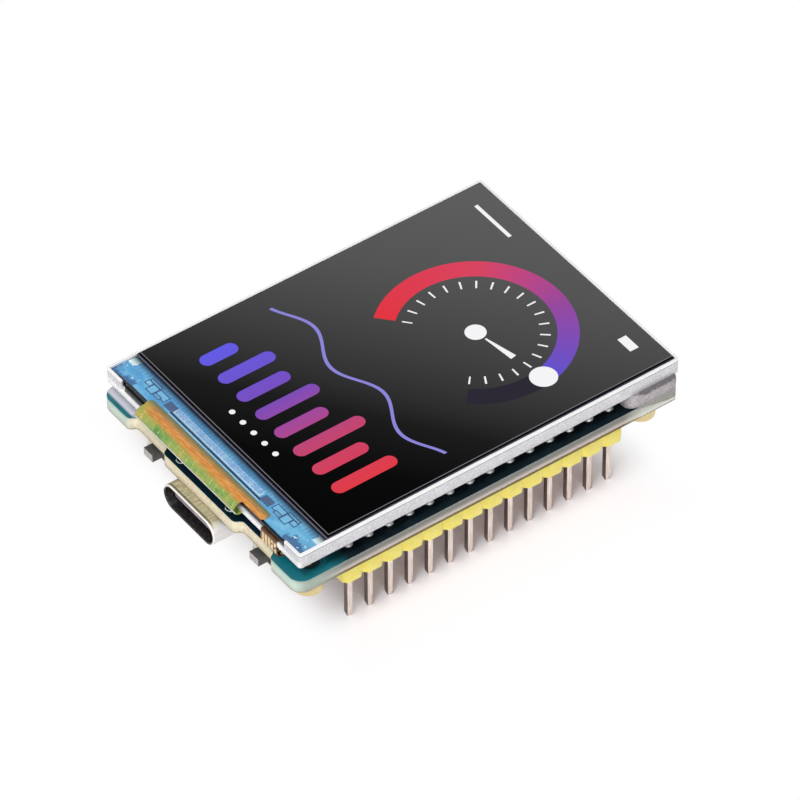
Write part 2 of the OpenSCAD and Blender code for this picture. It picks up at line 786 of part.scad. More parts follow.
module card_slot_shell() {
  x = card_w / 2;
  low = board_z - card_h;
  color([0.78, 0.78, 0.77]) translate([card_at_x, 0, 0]) difference() {
    union() {
      block([-x, card_y0, low], [x, card_y1, low + card_shell_t]);
      for (s = [-1, 1]) translate([s * (x - card_shell_t / 2), (card_y0 + card_y1) / 2, low])
        linear_extrude(card_h) square([card_shell_t, card_l], center = true);
    }
    block([-card_window_w / 2, card_y1 - card_window_l, low - card_shell_t],
      [card_window_w / 2, card_y1 + card_shell_t, low + 2 * card_shell_t]);
  }
}

module card_slot_contacts() {
  y0 = card_y0 + card_pad_inset;
  color([0.85, 0.7, 0.35]) for (i = [0 : card_pad_count - 1])
    translate([card_at_x + (i - (card_pad_count - 1) / 2) * card_pad_pitch, y0, board_z - card_base_t])
      block([-card_pad_w / 2, 0, -card_pad_t], [card_pad_w / 2, card_pad_l, 0]);
}

// Foam tapes between the board and the display module

module far_foam_tape() {
  color([0.66, 0.64, 0.65]) translate([0, (foam_far_y0 + foam_far_y1) / 2, board_top])
    linear_extrude(lcd_gap) end_rect(foam_far_w, foam_far_y1 - foam_far_y0, foam_far_r, foam_end_r);
}

module middle_foam_tape() {
  y0 = flex_end_y + flex_end_l + foam_flex_gap;
  color([0.66, 0.64, 0.65])
    block([-foam_middle_w / 2, y0, board_top], [foam_middle_w / 2, y0 + foam_middle_l, lcd_z]);
}

// Display module, from the back to the front

module metal_tray() {
  window_w = lcd_w - 2 * tray_tab_w;
  window_h = tray_h - tray_lip_h;
  color([0.84, 0.83, 0.83]) translate([0, (lcd_y0 + lcd_y1) / 2, lcd_z]) difference() {
    linear_extrude(tray_h) round_rect(lcd_w, lcd_l, tray_corner_r);
    translate([0, 0, tray_t]) linear_extrude(tray_h)
      round_rect(lcd_w - 2 * tray_wall, lcd_l - 2 * tray_wall, tray_corner_r - tray_wall);
    translate([0, tray_wall - lcd_l / 2, tray_lip_h + window_h]) rotate([90, 0, 0])
      linear_extrude(2 * tray_wall) round_rect(window_w, 2 * window_h, tray_window_r);
  }
}

// Sizes shared by the frame, its pockets and the light strip in them
module led_places() {
  for (i = [0 : led_count - 1])
    translate([(i - (led_count - 1) / 2) * led_spacing, guide_y0 - led_body[1] / 2, 0]) children();
}

module backlight_frame() {
  strip_low = tape_z - flex_t;
  color([0.95, 0.95, 0.94]) difference() {
    block([-frame_x, frame_y0, floor_z], [frame_x, frame_y1, tape_z]);
    block([-guide_x - guide_fit, guide_y0, floor_z - tray_t],
      [guide_x + guide_fit, guide_y1 + guide_fit, tape_z + tray_t]);
    block([-led_strip_l / 2, guide_y0 - led_strip_w, strip_low],
      [led_strip_l / 2, guide_y0 + guide_fit, tape_z + tray_t]);
    led_places() translate([0, guide_fit / 2, strip_low - (led_body[2] + led_pocket_fit) / 2])
      cube([led_body[0] + 2 * led_pocket_fit, led_body[1] + guide_fit + 2 * led_pocket_fit,
        led_body[2] + led_pocket_fit + flex_t], center = true);
  }
}

module reflector_film() {
  color([0.97, 0.97, 0.97]) block([-guide_x, guide_y0, floor_z], [guide_x, guide_y1, guide_z]);
}

module light_guide() {
  color([0.88, 0.93, 0.95]) block([-guide_x, guide_y0, guide_z], [guide_x, guide_y1, films_z]);
}

module optical_films() {
  color([0.92, 0.93, 0.94]) block([-guide_x, guide_y0, films_z], [guide_x, guide_y1, tape_z]);
}

module led_flex() {
  color([0.9, 0.62, 0.25])
    block([-led_strip_l / 2, guide_y0 - led_strip_w, tape_z - flex_t], [led_strip_l / 2, guide_y0, tape_z]);
}

module backlight_leds() {
  color([0.97, 0.93, 0.7]) led_places() translate([0, 0, tape_z - flex_t - led_body[2] / 2])
    cube(led_body, center = true);
}

module rim_tape() {
  flap_x = lcd_w / 2 - tray_tab_w - tray_window_r;
  flap_low = lcd_z + tray_lip_h;
  color([0.05, 0.05, 0.06]) {
    difference() {
      block([-frame_x, frame_y0, tape_z], [frame_x, frame_y1, rear_polarizer_z]);
      block([tape_border - frame_x, guide_y0 + tape_border, tape_z - tape_t],
        [frame_x - tape_border, frame_y1 - tape_border, rear_polarizer_z + tape_t]);
    }
    block([-flap_x, frame_y0 - tape_t, flap_low], [flap_x, frame_y0, rear_polarizer_z]);
  }
}

module rear_polarizer() {
  color([0.3, 0.31, 0.33])
    block([-polarizer_x, polarizer_y0, rear_polarizer_z], [polarizer_x, polarizer_y1, tft_z]);
}

module tft_glass() {
  color([0.35, 0.66, 0.88]) block([-glass_x, glass_y0, tft_z], [glass_x, glass_y1, filter_z]);
}

module filter_glass() {
  color([0.12, 0.2, 0.33]) block([-glass_x, filter_y0, filter_z], [glass_x, glass_y1, front_polarizer_z]);
}

module front_polarizer() {
  color([0.03, 0.03, 0.04]) block([-polarizer_x, polarizer_y0, front_polarizer_z],
    [polarizer_x, polarizer_y1, front_polarizer_z + polarizer_t]);
}

module driver_chip() {
  y = lcd_y0 + driver_y;
  color([0.6, 0.78, 0.9]) block([-driver_x, y - driver_w / 2, filter_z],
    [driver_x, y + driver_w / 2, filter_z + driver_h]);
}

// Flexes

module flex_leg(y0, y1, z0) {
  translate([y0, z0]) square([y1 - y0, flex_t]);
}

module display_flex() {
  color([0.93, 0.6, 0.25]) {
    along_x(flex_left_x, flex_right_x) {
      flex_leg(flex_fold_y, glass_y0 + flex_bond_l, filter_z);
      translate([flex_fold_y, flex_fold_z]) fold_band(flex_fold_r, flex_t);
      flex_leg(flex_fold_y, flex_step_y, lcd_z - flex_t);
      translate([flex_step_y, lcd_z - flex_t / 2 - flex_step_r])
        arc_band(flex_step_r, flex_t, 90 - flex_step_angle, 90);
      translate([flex_end_y, board_top + flex_t / 2 + flex_step_r])
        arc_band(flex_step_r, flex_t, 270 - flex_step_angle, 270);
      flex_leg(flex_end_y, flex_end_y + flex_end_l, board_top);
    }
    translate([0, (flex_lug_y + glass_y0 + flex_bond_l) / 2, filter_z]) linear_extrude(flex_t)
      round_rect(flex_bond_w, glass_y0 + flex_bond_l - flex_lug_y, flex_lug_r);
  }
}

module backlight_tail() {
  color([0.95, 0.82, 0.55]) along_x(tail_right_x - tail_w, tail_right_x) {
    flex_leg(tail_front_y, frame_y0 - tape_t, tail_top_z);
    translate([tail_front_y, tail_fold_z]) square([flex_t, tail_top_z - tail_fold_z + flex_t]);
    translate([tail_fold_y, tail_fold_z]) arc_band(tail_fold_r - flex_t / 2, flex_t, 180, 270);
    flex_leg(tail_fold_y, tail_fold_y + tail_lower_l, board_top);
  }
}

circuit_board();
header_strip(-1);  // header_strip_left
header_strip(1);  // header_strip_right
header_pins(-1);  // header_pins_left
header_pins(1);  // header_pins_right
header_solder();
threaded_nuts();
usb_shell();
usb_insulator();
usb_contacts();
boot_switch_base();
boot_switch_cover();
boot_plunger();
reset_switch_base();
reset_switch_cover();
reset_plunger();
switch_domes();
switch_terminals();
microcontroller();
flash_memory();
crystal();
motion_sensor();
voltage_regulator();
charger_chip();
chip_leads();
chip_antenna();
ceramic_capacitors();
chip_resistors();
chip_end_caps();
indicator_leds();
battery_socket();
battery_socket_pins();
card_slot_base();
card_slot_shell();
card_slot_contacts();
far_foam_tape();
middle_foam_tape();
metal_tray();
backlight_frame();
reflector_film();
light_guide();
optical_films();
led_flex();
backlight_leds();
rim_tape();
rear_polarizer();
tft_glass();
filter_glass();
front_polarizer();
driver_chip();
display_flex();
backlight_tail();
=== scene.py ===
import json
from functools import partial
from math import cos, pi, radians, sin

import bmesh
import bpy
from mathutils import Matrix, Vector


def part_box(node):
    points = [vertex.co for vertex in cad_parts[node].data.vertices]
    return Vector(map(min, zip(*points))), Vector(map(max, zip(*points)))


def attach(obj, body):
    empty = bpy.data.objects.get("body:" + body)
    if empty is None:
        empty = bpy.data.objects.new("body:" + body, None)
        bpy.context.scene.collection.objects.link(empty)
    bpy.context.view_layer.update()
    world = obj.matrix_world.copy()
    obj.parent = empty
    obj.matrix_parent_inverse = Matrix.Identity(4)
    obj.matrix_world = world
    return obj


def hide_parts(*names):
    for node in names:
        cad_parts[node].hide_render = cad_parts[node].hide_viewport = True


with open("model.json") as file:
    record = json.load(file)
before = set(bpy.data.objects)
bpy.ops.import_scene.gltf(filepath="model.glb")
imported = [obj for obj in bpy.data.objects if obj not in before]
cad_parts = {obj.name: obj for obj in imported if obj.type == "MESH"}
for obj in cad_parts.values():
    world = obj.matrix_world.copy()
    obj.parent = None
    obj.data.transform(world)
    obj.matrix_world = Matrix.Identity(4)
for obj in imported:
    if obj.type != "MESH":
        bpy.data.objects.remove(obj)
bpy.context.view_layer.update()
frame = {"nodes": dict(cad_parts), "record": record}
nodes = frame["nodes"]
scene = bpy.context.scene
scene.view_settings.view_transform = "Standard"

MM = 0.001

# Places in millimetres, as in the part's source
BOARD_BOTTOM = 8.5
BOARD_TOP = 10.1
LEDGE_TOP = 13.37
SCREEN_TOP = 13.79
SOCKET_LOW = 5.34
SOCKET_MIDDLE = 6.92
SOCKET_HALF = 4.47
LEG_X = 4.32
LEG_Y = (-22.675, -18.575)
PIN_ROW_X = 15.65
PIN_FIRST_Y = -16.235
PIN_PITCH = 2.54
PIN_COUNT = 14
NUT_X = 15.0
NUT_Y = (-20.725, 21.575)
CHIP_ROW_Y = -3.575
CONTROLLER_X = -2.5
FLASH_X = 6.5


# Helpers for the finishes


def srgb(text):
    """A hex colour such as "#c0ffee" as linear RGBA."""
    parts = [int(text[i:i + 2], 16) / 255 for i in (1, 3, 5)]
    return [c / 12.92 if c <= 0.04045 else ((c + 0.055) / 1.055) ** 2.4 for c in parts] + [1.0]


def add_node(tree, kind, *inputs, stops=(), **settings):
    """Adds a node and fills its inputs in order, each with a node, an output, a hex colour or a value.

    A setting with a capital letter is an input by name, any other is a property of the node. An upper-case
    kind is the operation of a Math node, and stops are the places and hex colours of a colour ramp.
    """
    node = tree.nodes.new("ShaderNode" + ("Math" if kind.isupper() else kind))
    if kind.isupper():
        node.operation = kind
    for name, value in settings.items():
        if name[0].islower():
            setattr(node, name, value)
    places = [socket for socket in node.inputs if socket.enabled]
    filled = list(zip(places, inputs))
    filled += [(node.inputs[name.replace("_", " ")], v) for name, v in settings.items() if name[0].isupper()]
    for socket, value in filled:
        if isinstance(value, bpy.types.Node):
            value = next(output for output in value.outputs if output.enabled)
        if isinstance(value, bpy.types.NodeSocket):
            tree.links.new(value, socket)
        else:
            socket.default_value = srgb(value) if isinstance(value, str) else value
    for i, (at, text) in enumerate(stops):
        bar = node.color_ramp.elements
        stop = bar[i] if i < len(bar) else bar.new(at)
        stop.position = at
        stop.color = srgb(text)
    return node


def start_finish(name):
    """A new material, the way to add its nodes, and the place on the piece in millimetres."""
    material = bpy.data.materials.new(name)
    material.use_nodes = True
    material.node_tree.nodes.clear()
    add = partial(add_node, material.node_tree)
    place = add("Mapping", add("TexCoord").outputs["Object"], Scale=(1000, 1000, 1000))
    return material, add, place


def end_finish(material, add, colour, rough, relief=None, depth=0.0, strength=0.3, **more):
    """Closes a finish, with its relief as deep as a number of millimetres, and returns the material."""
    if relief is not None:
        more["Normal"] = add("Bump", Strength=strength, Distance=depth * MM, Height=relief)
    add("OutputMaterial", add("BsdfPrincipled", Base_Color=colour, Roughness=rough, **more))
    return material


def box_reach(add, x, y, centre, half):
    """How far a place lies outside a rectangle, square to its sides, and negative inside it."""
    across = add("ABSOLUTE", add("SUBTRACT", x, centre[0]))
    along = add("ABSOLUTE", add("SUBTRACT", y, centre[1]))
    return add("MAXIMUM", add("SUBTRACT", across, half[0]), add("SUBTRACT", along, half[1]))


def direct_rays(add):
    """1 for the rays that the camera, a mirror or glass sends out, and 0 for all others."""
    path = add("LightPath").outputs
    seen = add("MAXIMUM", path["Is Camera Ray"], path["Is Glossy Ray"])
    return add("MAXIMUM", seen, path["Is Transmission Ray"])


# Plain finishes: two close tones at the real grain size in millimetres and in clouds eight times as wide,
# with roughness and relief from the same grain
def grained(name, light, dark, grain, roughness, relief=0.02, metallic=0.0, stretch=(1, 1, 1)):
    material, add, place = start_finish(name)
    along = add("Mapping", place, Scale=stretch)
    fine = add("TexNoise", along, Scale=1 / grain, Detail=3.0)
    broad = add("TexNoise", along, Scale=0.12 / grain, Detail=2.0)
    mixed = add("Mix", 0.5, fine, broad)
    colour = add("ValToRGB", mixed, stops=((0.3, dark), (0.7, light)))
    rough = add("MapRange", mixed, 0.3, 0.7, roughness + 0.1, roughness - 0.1)
    return end_finish(material, add, colour, rough, fine, relief, 0.5, Metallic=metallic)


finish = {}
# Moulded PBT, dyed: bright yellow with a soft satin from the mould
finish["yellow_plastic"] = grained("yellow_pbt", "#fff384", "#fbe560", 0.12, 0.42)
# Gold-plated copper alloy: warm yellow and smooth
finish["gold_contacts"] = grained("gold_plated_copper", "#e6c472", "#c99d45", 0.1, 0.28, metallic=0.85)
# Moulded nylon, undyed: cream with a fine spark-eroded texture
finish["switch_plastic"] = grained("cream_nylon", "#f1ece2", "#e2dccf", 0.1, 0.55)
# Stamped steel, tin-plated: grey with rolling marks
finish["switch_steel"] = grained("stamped_steel", "#cfcdc8", "#aeaba5", 0.1, 0.34, metallic=0.8,
                                 stretch=(0.1, 1, 1))
# Tin-plated copper: pale grey, matt
finish["tinned_metal"] = grained("tinned_copper", "#d9d8d4", "#b6b4ae", 0.08, 0.36, metallic=0.8)
# Moulded epoxy: black with a sandy grain
finish["chip_resin"] = grained("black_epoxy", "#2b2b2e", "#191a1c", 0.07, 0.6, relief=0.03)
# Drawn nickel can: silver with a soft brush
finish["crystal_can"] = grained("nickel_can", "#d6d4cf", "#b4b2ac", 0.08, 0.32, metallic=0.85,
                                stretch=(1, 0.15, 1))
# Fired ceramic: pale blue-grey, smooth
finish["antenna_ceramic"] = grained("pale_ceramic", "#e4ebee", "#cbd6dc", 0.15, 0.4)
# Fired titanate ceramic: tan with fine specks
finish["capacitor_ceramic"] = grained("tan_ceramic", "#c3a27a", "#a5825a", 0.1, 0.45)
# Glass glaze over a film: black and smooth
finish["resistor_glaze"] = grained("black_glaze", "#26262a", "#141416", 0.2, 0.3)
# Clear resin over white: milky with a yellow cast
finish["led_resin"] = grained("milky_resin", "#f7f3dc", "#e9e2b4", 0.2, 0.3)
# Moulded nylon, undyed: ivory
finish["battery_nylon"] = grained("ivory_nylon", "#f2ecdb", "#e3dac2", 0.2, 0.45)
# Moulded liquid crystal polymer of the card slot: black, satin
finish["card_plastic"] = grained("card_slot_polymer", "#272729", "#17171a", 0.2, 0.5)
# Stamped stainless steel: grey with rolling marks
finish["card_steel"] = grained("stamped_stainless", "#d4d4d2", "#b2b2b0", 0.12, 0.3, metallic=0.85,
                               stretch=(1, 0.08, 1))
# Moulded white polycarbonate of the backlight frame: clean white
finish["white_plastic"] = grained("white_polycarbonate", "#f6f6f4", "#e8e8e6", 0.25, 0.4)
# Enhanced reflector film: bright white, glossy
finish["reflector"] = grained("reflector_film", "#fafafa", "#eeeeef", 0.4, 0.2)
# Cast acrylic plate: clear with a pale blue edge
finish["guide_acrylic"] = grained("edge_lit_acrylic", "#e6eff2", "#d4e2e8", 0.4, 0.15)
# Stacked diffuser films: milky
finish["diffuser_film"] = grained("diffuser_film", "#eff1f2", "#dfe2e5", 0.3, 0.5)
# Polyimide film over copper: amber
finish["amber_film"] = grained("amber_polyimide", "#e7a450", "#c9802f", 0.25, 0.35)
# Black polyester tape: deep black, faint sheen
finish["black_tape"] = grained("black_tape", "#1b1b1d", "#0c0c0e", 0.15, 0.42)
# Polarizing film of the glass's back: dark grey
finish["polarizer_film"] = grained("rear_polarizer_film", "#4e5054", "#3a3b3f", 0.4, 0.25)


# Stainless tray, pressed and hemmed: cool grey with a fine mottle; a painted highlight near white on its hem,
# its top faces and its low front lip, and painted shade in a seam below the hem and along the foot of its
# sides
def pressed_stainless():
    material, add, place = start_finish("pressed_stainless")
    lip_top, hem_low, seam_middle, foot_top = 12.6, 13.42, 13.38, 11.84
    z = add("SeparateXYZ", place).outputs[2]
    _, ny, nz = add("SeparateXYZ", add("NewGeometry").outputs["Normal"]).outputs
    side = add("COMPARE", nz, 0.0, 0.6)
    cloud = add("TexNoise", place, Scale=0.55, Detail=4.0, Roughness=0.6)
    # Pressing marks, about 0.2 mm
    speckle = add("TexNoise", place, Scale=5.0, Detail=3.0, Roughness=0.7)
    mixed = add("Mix", 0.75, cloud, speckle)
    colour = add("ValToRGB", mixed, stops=((0.34, "#c2c0c4"), (0.66, "#f0eff2"), (0.5, "#dad9dd")))
    highlight_tone = add("ValToRGB", mixed, stops=((0.3, "#efeeef"), (0.6, "#fdfcfc")))
    # Painted highlight: the hem turns down over the top 0.3 mm and is painted near white, as are the top
    # faces and the low front lip
    level = add("ADD", z, add("MULTIPLY_ADD", cloud, 0.12, -0.06))
    lip = add("MULTIPLY", add("LESS_THAN", ny, -0.5), add("LESS_THAN", z, lip_top))
    painted_highlight = add("MAXIMUM", lip, add("GREATER_THAN", level, hem_low))
    painted_highlight = add("MAXIMUM", painted_highlight, add("SUBTRACT", 1.0, side))
    # Painted shade in the seam below the hem, and along the foot of the sides with a ragged edge
    seam_shade = add("MULTIPLY", add("COMPARE", level, seam_middle, 0.05), add("SUBTRACT", side, lip))
    shaded_foot = add("LESS_THAN", add("ADD", z, add("MULTIPLY_ADD", speckle, 0.5, -0.25)), foot_top)
    for mask, tint in ((painted_highlight, highlight_tone), (add("MULTIPLY", seam_shade, 0.8), "#8d8988"),
                       (add("MULTIPLY", shaded_foot, side), "#a19fa2")):
        colour = add("Mix", mask, colour, tint, data_type="RGBA")
    rough = add("MapRange", mixed, 0.3, 0.7, 0.46, 0.26)
    return end_finish(material, add, colour, rough, mixed, 0.03, Metallic=0.35)


# Glass-fibre board under a teal solder mask, painted dark on top as shade under the display, with ridged
# tracks below and a cream routed edge
def masked_board():
    material, add, place = start_finish("solder_masked_board")
    x, y, z = add("SeparateXYZ", place).outputs
    nx, _, nz = add("SeparateXYZ", add("NewGeometry").outputs["Normal"]).outputs
    side = add("COMPARE", nz, 0.0, 0.93)
    under = add("LESS_THAN", nz, -0.93)
    mirrored = add("ABSOLUTE", x)
    sideways = add("ABSOLUTE", nx)
    cloud = add("TexNoise", place, Scale=0.3, Detail=3.0)
    # Upper face: painted near black, with less sheen, as shade under the display, and navy as painted shade
    # under the flex at the front; the front corners keep the mask's own teal, outside that shade
    unshaded_corner = add("MULTIPLY", add("MapRange", mirrored, 10.5, 13.0), add("MapRange", y, -17.0, -19.5))
    upper = add("ValToRGB", cloud, stops=((0.3, "#0c171b"), (0.7, "#13222a")))
    front_shade = add("MULTIPLY", add("MapRange", y, -15.0, -18.0), add("LESS_THAN", mirrored, 14.0))
    teal = add("ValToRGB", cloud, stops=((0.3, "#0a5f6c"), (0.7, "#0e717c")))
    # A pale painted reflection on the mask beside the left front nut
    painted_sheen = add("MULTIPLY", add("MapRange", x, -11.8, -12.8), add("MapRange", y, -23.2, -22.95))
    for mask, tint in ((front_shade, "#0a2233"), (unshaded_corner, teal), (add("MULTIPLY", painted_sheen, 0.9), "#d6d5e0")):
        upper = add("Mix", mask, upper, tint, data_type="RGBA")
    # Underside: tracks 0.3 mm wide on a 0.8 mm raster, in blocks that turn by a quarter
    blocks = add("TexVoronoi", place, Scale=0.16, Randomness=0.85, voronoi_dimensions="2D",
                 distance="CHEBYCHEV")
    turn = add("GREATER_THAN", blocks.outputs["Color"], 0.5)
    raster = add("Mix", turn, add("PINGPONG", x, 0.8), add("PINGPONG", y, 0.8))
    gap = add("TexNoise", place, Scale=0.22, Detail=1.0)
    track = add("MULTIPLY", add("COMPARE", raster, 0.4, 0.15), add("COMPARE", gap, 0.68, 0.17))
    track = add("MULTIPLY", track, under)
    # Vias: 0.5 mm plated dots with a dark hole
    cells = add("TexVoronoi", place, Scale=0.34, Randomness=0.9, voronoi_dimensions="2D")
    lower = teal
    for mask, tint in ((track, "#18808c"), (add("LESS_THAN", cells, 0.085), "#c9b984"),
                       (add("LESS_THAN", cells, 0.04), "#1c2a2c")):
        lower = add("Mix", mask, lower, tint, data_type="RGBA")
    # Printed outlines of the parts, 0.16 mm wide
    for centre, half in (((CONTROLLER_X, CHIP_ROW_Y), (4.1, 4.1)), ((FLASH_X, CHIP_ROW_Y), (3.6, 3.1)),
                         ((-9.0, CHIP_ROW_Y), (1.7, 2.1)), ((-9.5, 1.925), (1.7, 2.0)),
                         ((9.0, -11.075), (2.1, 2.3)), ((-9.0, -11.075), (2.9, 3.2)),
                         ((-10.0, 9.925), (1.6, 3.2))):
        ink = add("COMPARE", box_reach(add, x, y, centre, half), 0.0, 0.08)
        lower = add("Mix", ink, lower, "#e6ebe8", data_type="RGBA")
    # Routed edge: layers of glass cloth, cream at the front, pale at the far end, and pale green where the
    # mask shows through at the front corners; the long sides grey-green above and warm below, darker than the
    # front and darkest at the top, partly their layers and partly painted shade, and the corners' sideways
    # faces painted greyer as shade
    cloth = add("TexNoise", add("Mapping", place, Scale=(0.5, 0.5, 7.0)), Scale=1.3, Detail=4.0)
    dust = add("TexNoise", place, Scale=7.0, Detail=2.0)
    height = add("MapRange", z, BOARD_BOTTOM, BOARD_TOP)
    wander = add("ADD", add("MULTIPLY_ADD", cloth, 0.12, -0.06), add("MULTIPLY_ADD", dust, 0.2, -0.1))
    level = add("ADD", height, wander)
    long_side_shaded = add("ValToRGB", level, stops=(
        (0.0, "#7b6e3a"), (1.0, "#4f574f"), (0.17, "#7c6f58"), (0.25, "#d6cac1"), (0.38, "#d2c8c2"),
        (0.5, "#a69f99"), (0.7, "#858580"), (0.9, "#8b908a")))
    edge = add("ValToRGB", level, stops=(
        (0.0, "#978b60"), (1.0, "#b4b596"), (0.12, "#ddd3b5"), (0.5, "#f6eed6"), (0.85, "#e4dcbf")))
    resin = add("TexNoise", place, Scale=1.5, Detail=4.0)
    resin = add("ValToRGB", resin, stops=((0.36, "#dfc2a6"), (0.64, "#dfdab0"), (0.5, "#f5ecd2")))
    soaked = add("MapRange", height, 0.05, 0.25, 0.0, 0.55)
    corner = add("ValToRGB", level, stops=(
        (0.0, "#8b917c"), (1.0, "#86b0a2"), (0.12, "#ccd5c8"), (0.5, "#d0e2d4"), (0.8, "#c6dacc")))
    sideways_shade = add("MapRange", sideways, 0.5, 0.95, 0.0, 0.6)
    corner = add("Mix", sideways_shade, corner, "#92998f", data_type="RGBA")
    near = add("MULTIPLY", add("MapRange", mirrored, 12.2, 13.2), add("MapRange", y, -17.5, -21.0))
    rear = add("ValToRGB", level, stops=(
        (0.0, "#77725a"), (1.0, "#b5b9ac"), (0.14, "#f0f0ea"), (0.5, "#cfd1c5"), (0.8, "#c2c6b8")))
    flank = add("MULTIPLY", add("MapRange", sideways, 0.35, 0.75), add("GREATER_THAN", mirrored, 15.0))
    # Grey past the foam tape, down over the far end of the long edges and on the upper face's rim there
    far_end_grey = add("ValToRGB", dust, stops=((0.35, "#8f8c88"), (0.65, "#b3b0ab")))
    far_end_band = add("MapRange", y, 18.6, 23.4, 0.95, 0.3)
    far_end_band = add("MULTIPLY", add("GREATER_THAN", level, far_end_band), add("GREATER_THAN", sideways, 0.5))
    for mask, tint in ((soaked, resin), (flank, long_side_shaded), (near, corner),
                       (add("MapRange", y, 17.5, 20.0), rear), (far_end_band, far_end_grey)):
        edge = add("Mix", mask, edge, tint, data_type="RGBA")
    rim = add("MULTIPLY", add("GREATER_THAN", mirrored, 17.1), add("GREATER_THAN", y, 19.4))
    colour = upper
    for mask, tint in ((under, lower), (rim, far_end_grey), (side, edge)):
        colour = add("Mix", mask, colour, tint, data_type="RGBA")
    rough = add("Mix", side, 0.34, 0.8)
    gloss = add("Mix", add("MAXIMUM", unshaded_corner, under), 0.08, 0.35)
    lifted = add("ADD", track, cloth)
    return end_finish(material, add, colour, rough, lifted, 0.03, 0.4, Specular_IOR_Level=gloss)


# Tin-plated bronze pins, stamped from strip: the rolled faces bright and drawn; the sheared faces dull and
# painted dark brown, partly their finish and partly painted shade
def stamped_pin():
    material, add, place = start_finish("tinned_bronze_pin")
    ny = add("SeparateXYZ", add("NewGeometry").outputs["Normal"]).outputs[1]
    drawn = add("TexNoise", add("Mapping", place, Scale=(1.0, 1.0, 0.06)), Scale=9.0, Detail=3.0)
    rolled = add("ValToRGB", drawn, stops=((0.32, "#cfbfb5"), (0.68, "#fbeee6")))
    # Painted shade: the faces turned towards the neighbouring pins are painted dark brown
    sheared_and_shaded = add("ValToRGB", drawn, stops=((0.32, "#4d3d3b"), (0.68, "#776460")))
    cut = add("MapRange", add("ABSOLUTE", ny), 0.6, 0.8)
    colour = add("Mix", cut, rolled, sheared_and_shaded, data_type="RGBA")
    metal = add("Mix", cut, 0.75, 0.2)
    rough = add("Mix", cut, 0.24, 0.5)
    return end_finish(material, add, colour, rough, drawn, 0.02, 0.4, Metallic=metal)


# Tin solder, frozen: bright with slight pits; at each pin joint painted dark as shade at the foot and painted
# white as a highlight at the tip, and on the joints of the socket's legs painted dark as shade but for a
# painted highlight on their front slope
def tin_solder():
    material, add, place = start_finish("tin_solder")
    shade_height = 0.17
    x, _, z = add("SeparateXYZ", place).outputs
    ny = add("SeparateXYZ", add("NewGeometry").outputs["Normal"]).outputs[1]
    pits = add("TexNoise", place, Scale=6.0, Detail=3.0)
    colour = add("ValToRGB", pits, stops=((0.3, "#b9bbbb"), (0.7, "#f2f2f1")))
    outer = add("GREATER_THAN", add("ABSOLUTE", x), 10.0)
    # Painted light: shade at the foot of the pin joints, shade on the leg joints but for a highlight on their
    # front slope, and a white highlight on the pin joints' tips
    shaded_foot = add("MULTIPLY", add("COMPARE", z, BOARD_TOP, shade_height), outer)
    leg = add("MULTIPLY", add("GREATER_THAN", z, BOARD_TOP - 0.1), add("SUBTRACT", 1.0, outer))
    leg_shade_and_highlight = add("Mix", add("LESS_THAN", ny, -0.12), "#24323c", "#eef4fb", data_type="RGBA")
    tip = add("MULTIPLY", add("GREATER_THAN", z, BOARD_TOP + shade_height), add("SUBTRACT", 1.0, leg))
    for mask, tint in ((shaded_foot, "#14191b"), (leg, leg_shade_and_highlight), (tip, "#ffffff")):
        colour = add("Mix", mask, colour, tint, data_type="RGBA")
    metal = add("Mix", tip, add("Mix", shaded_foot, 0.4, 0.0), 0.6)
    rough = add("Mix", tip, add("MapRange", pits, 0.3, 0.7, 0.36, 0.18), 0.12)
    return end_finish(material, add, colour, rough, pits, 0.02, Metallic=metal)


# Turned brass, thinly plated: pale gold with a light satin, painted dark teal where it sits in the board, as
# shade in the board's holes and under the tray
def plated_brass():
    material, add, place = start_finish("plated_brass")
    z = add("SeparateXYZ", place).outputs[2]
    satin = add("TexNoise", place, Scale=5.0, Detail=3.0)
    colour = add("ValToRGB", satin, stops=((0.3, "#e3cb8a"), (0.7, "#efdba6")))
    # Painted shade on the part that sits in the board
    collar_shade = add("GREATER_THAN", z, BOARD_BOTTOM + 0.1)
    colour = add("Mix", collar_shade, colour, "#10282c", data_type="RGBA")
    metal = add("Mix", collar_shade, 0.4, 0.0)
    rough = add("MapRange", satin, 0.3, 0.7, 0.44, 0.28)
    return end_finish(material, add, colour, rough, satin, 0.006, Metallic=metal)


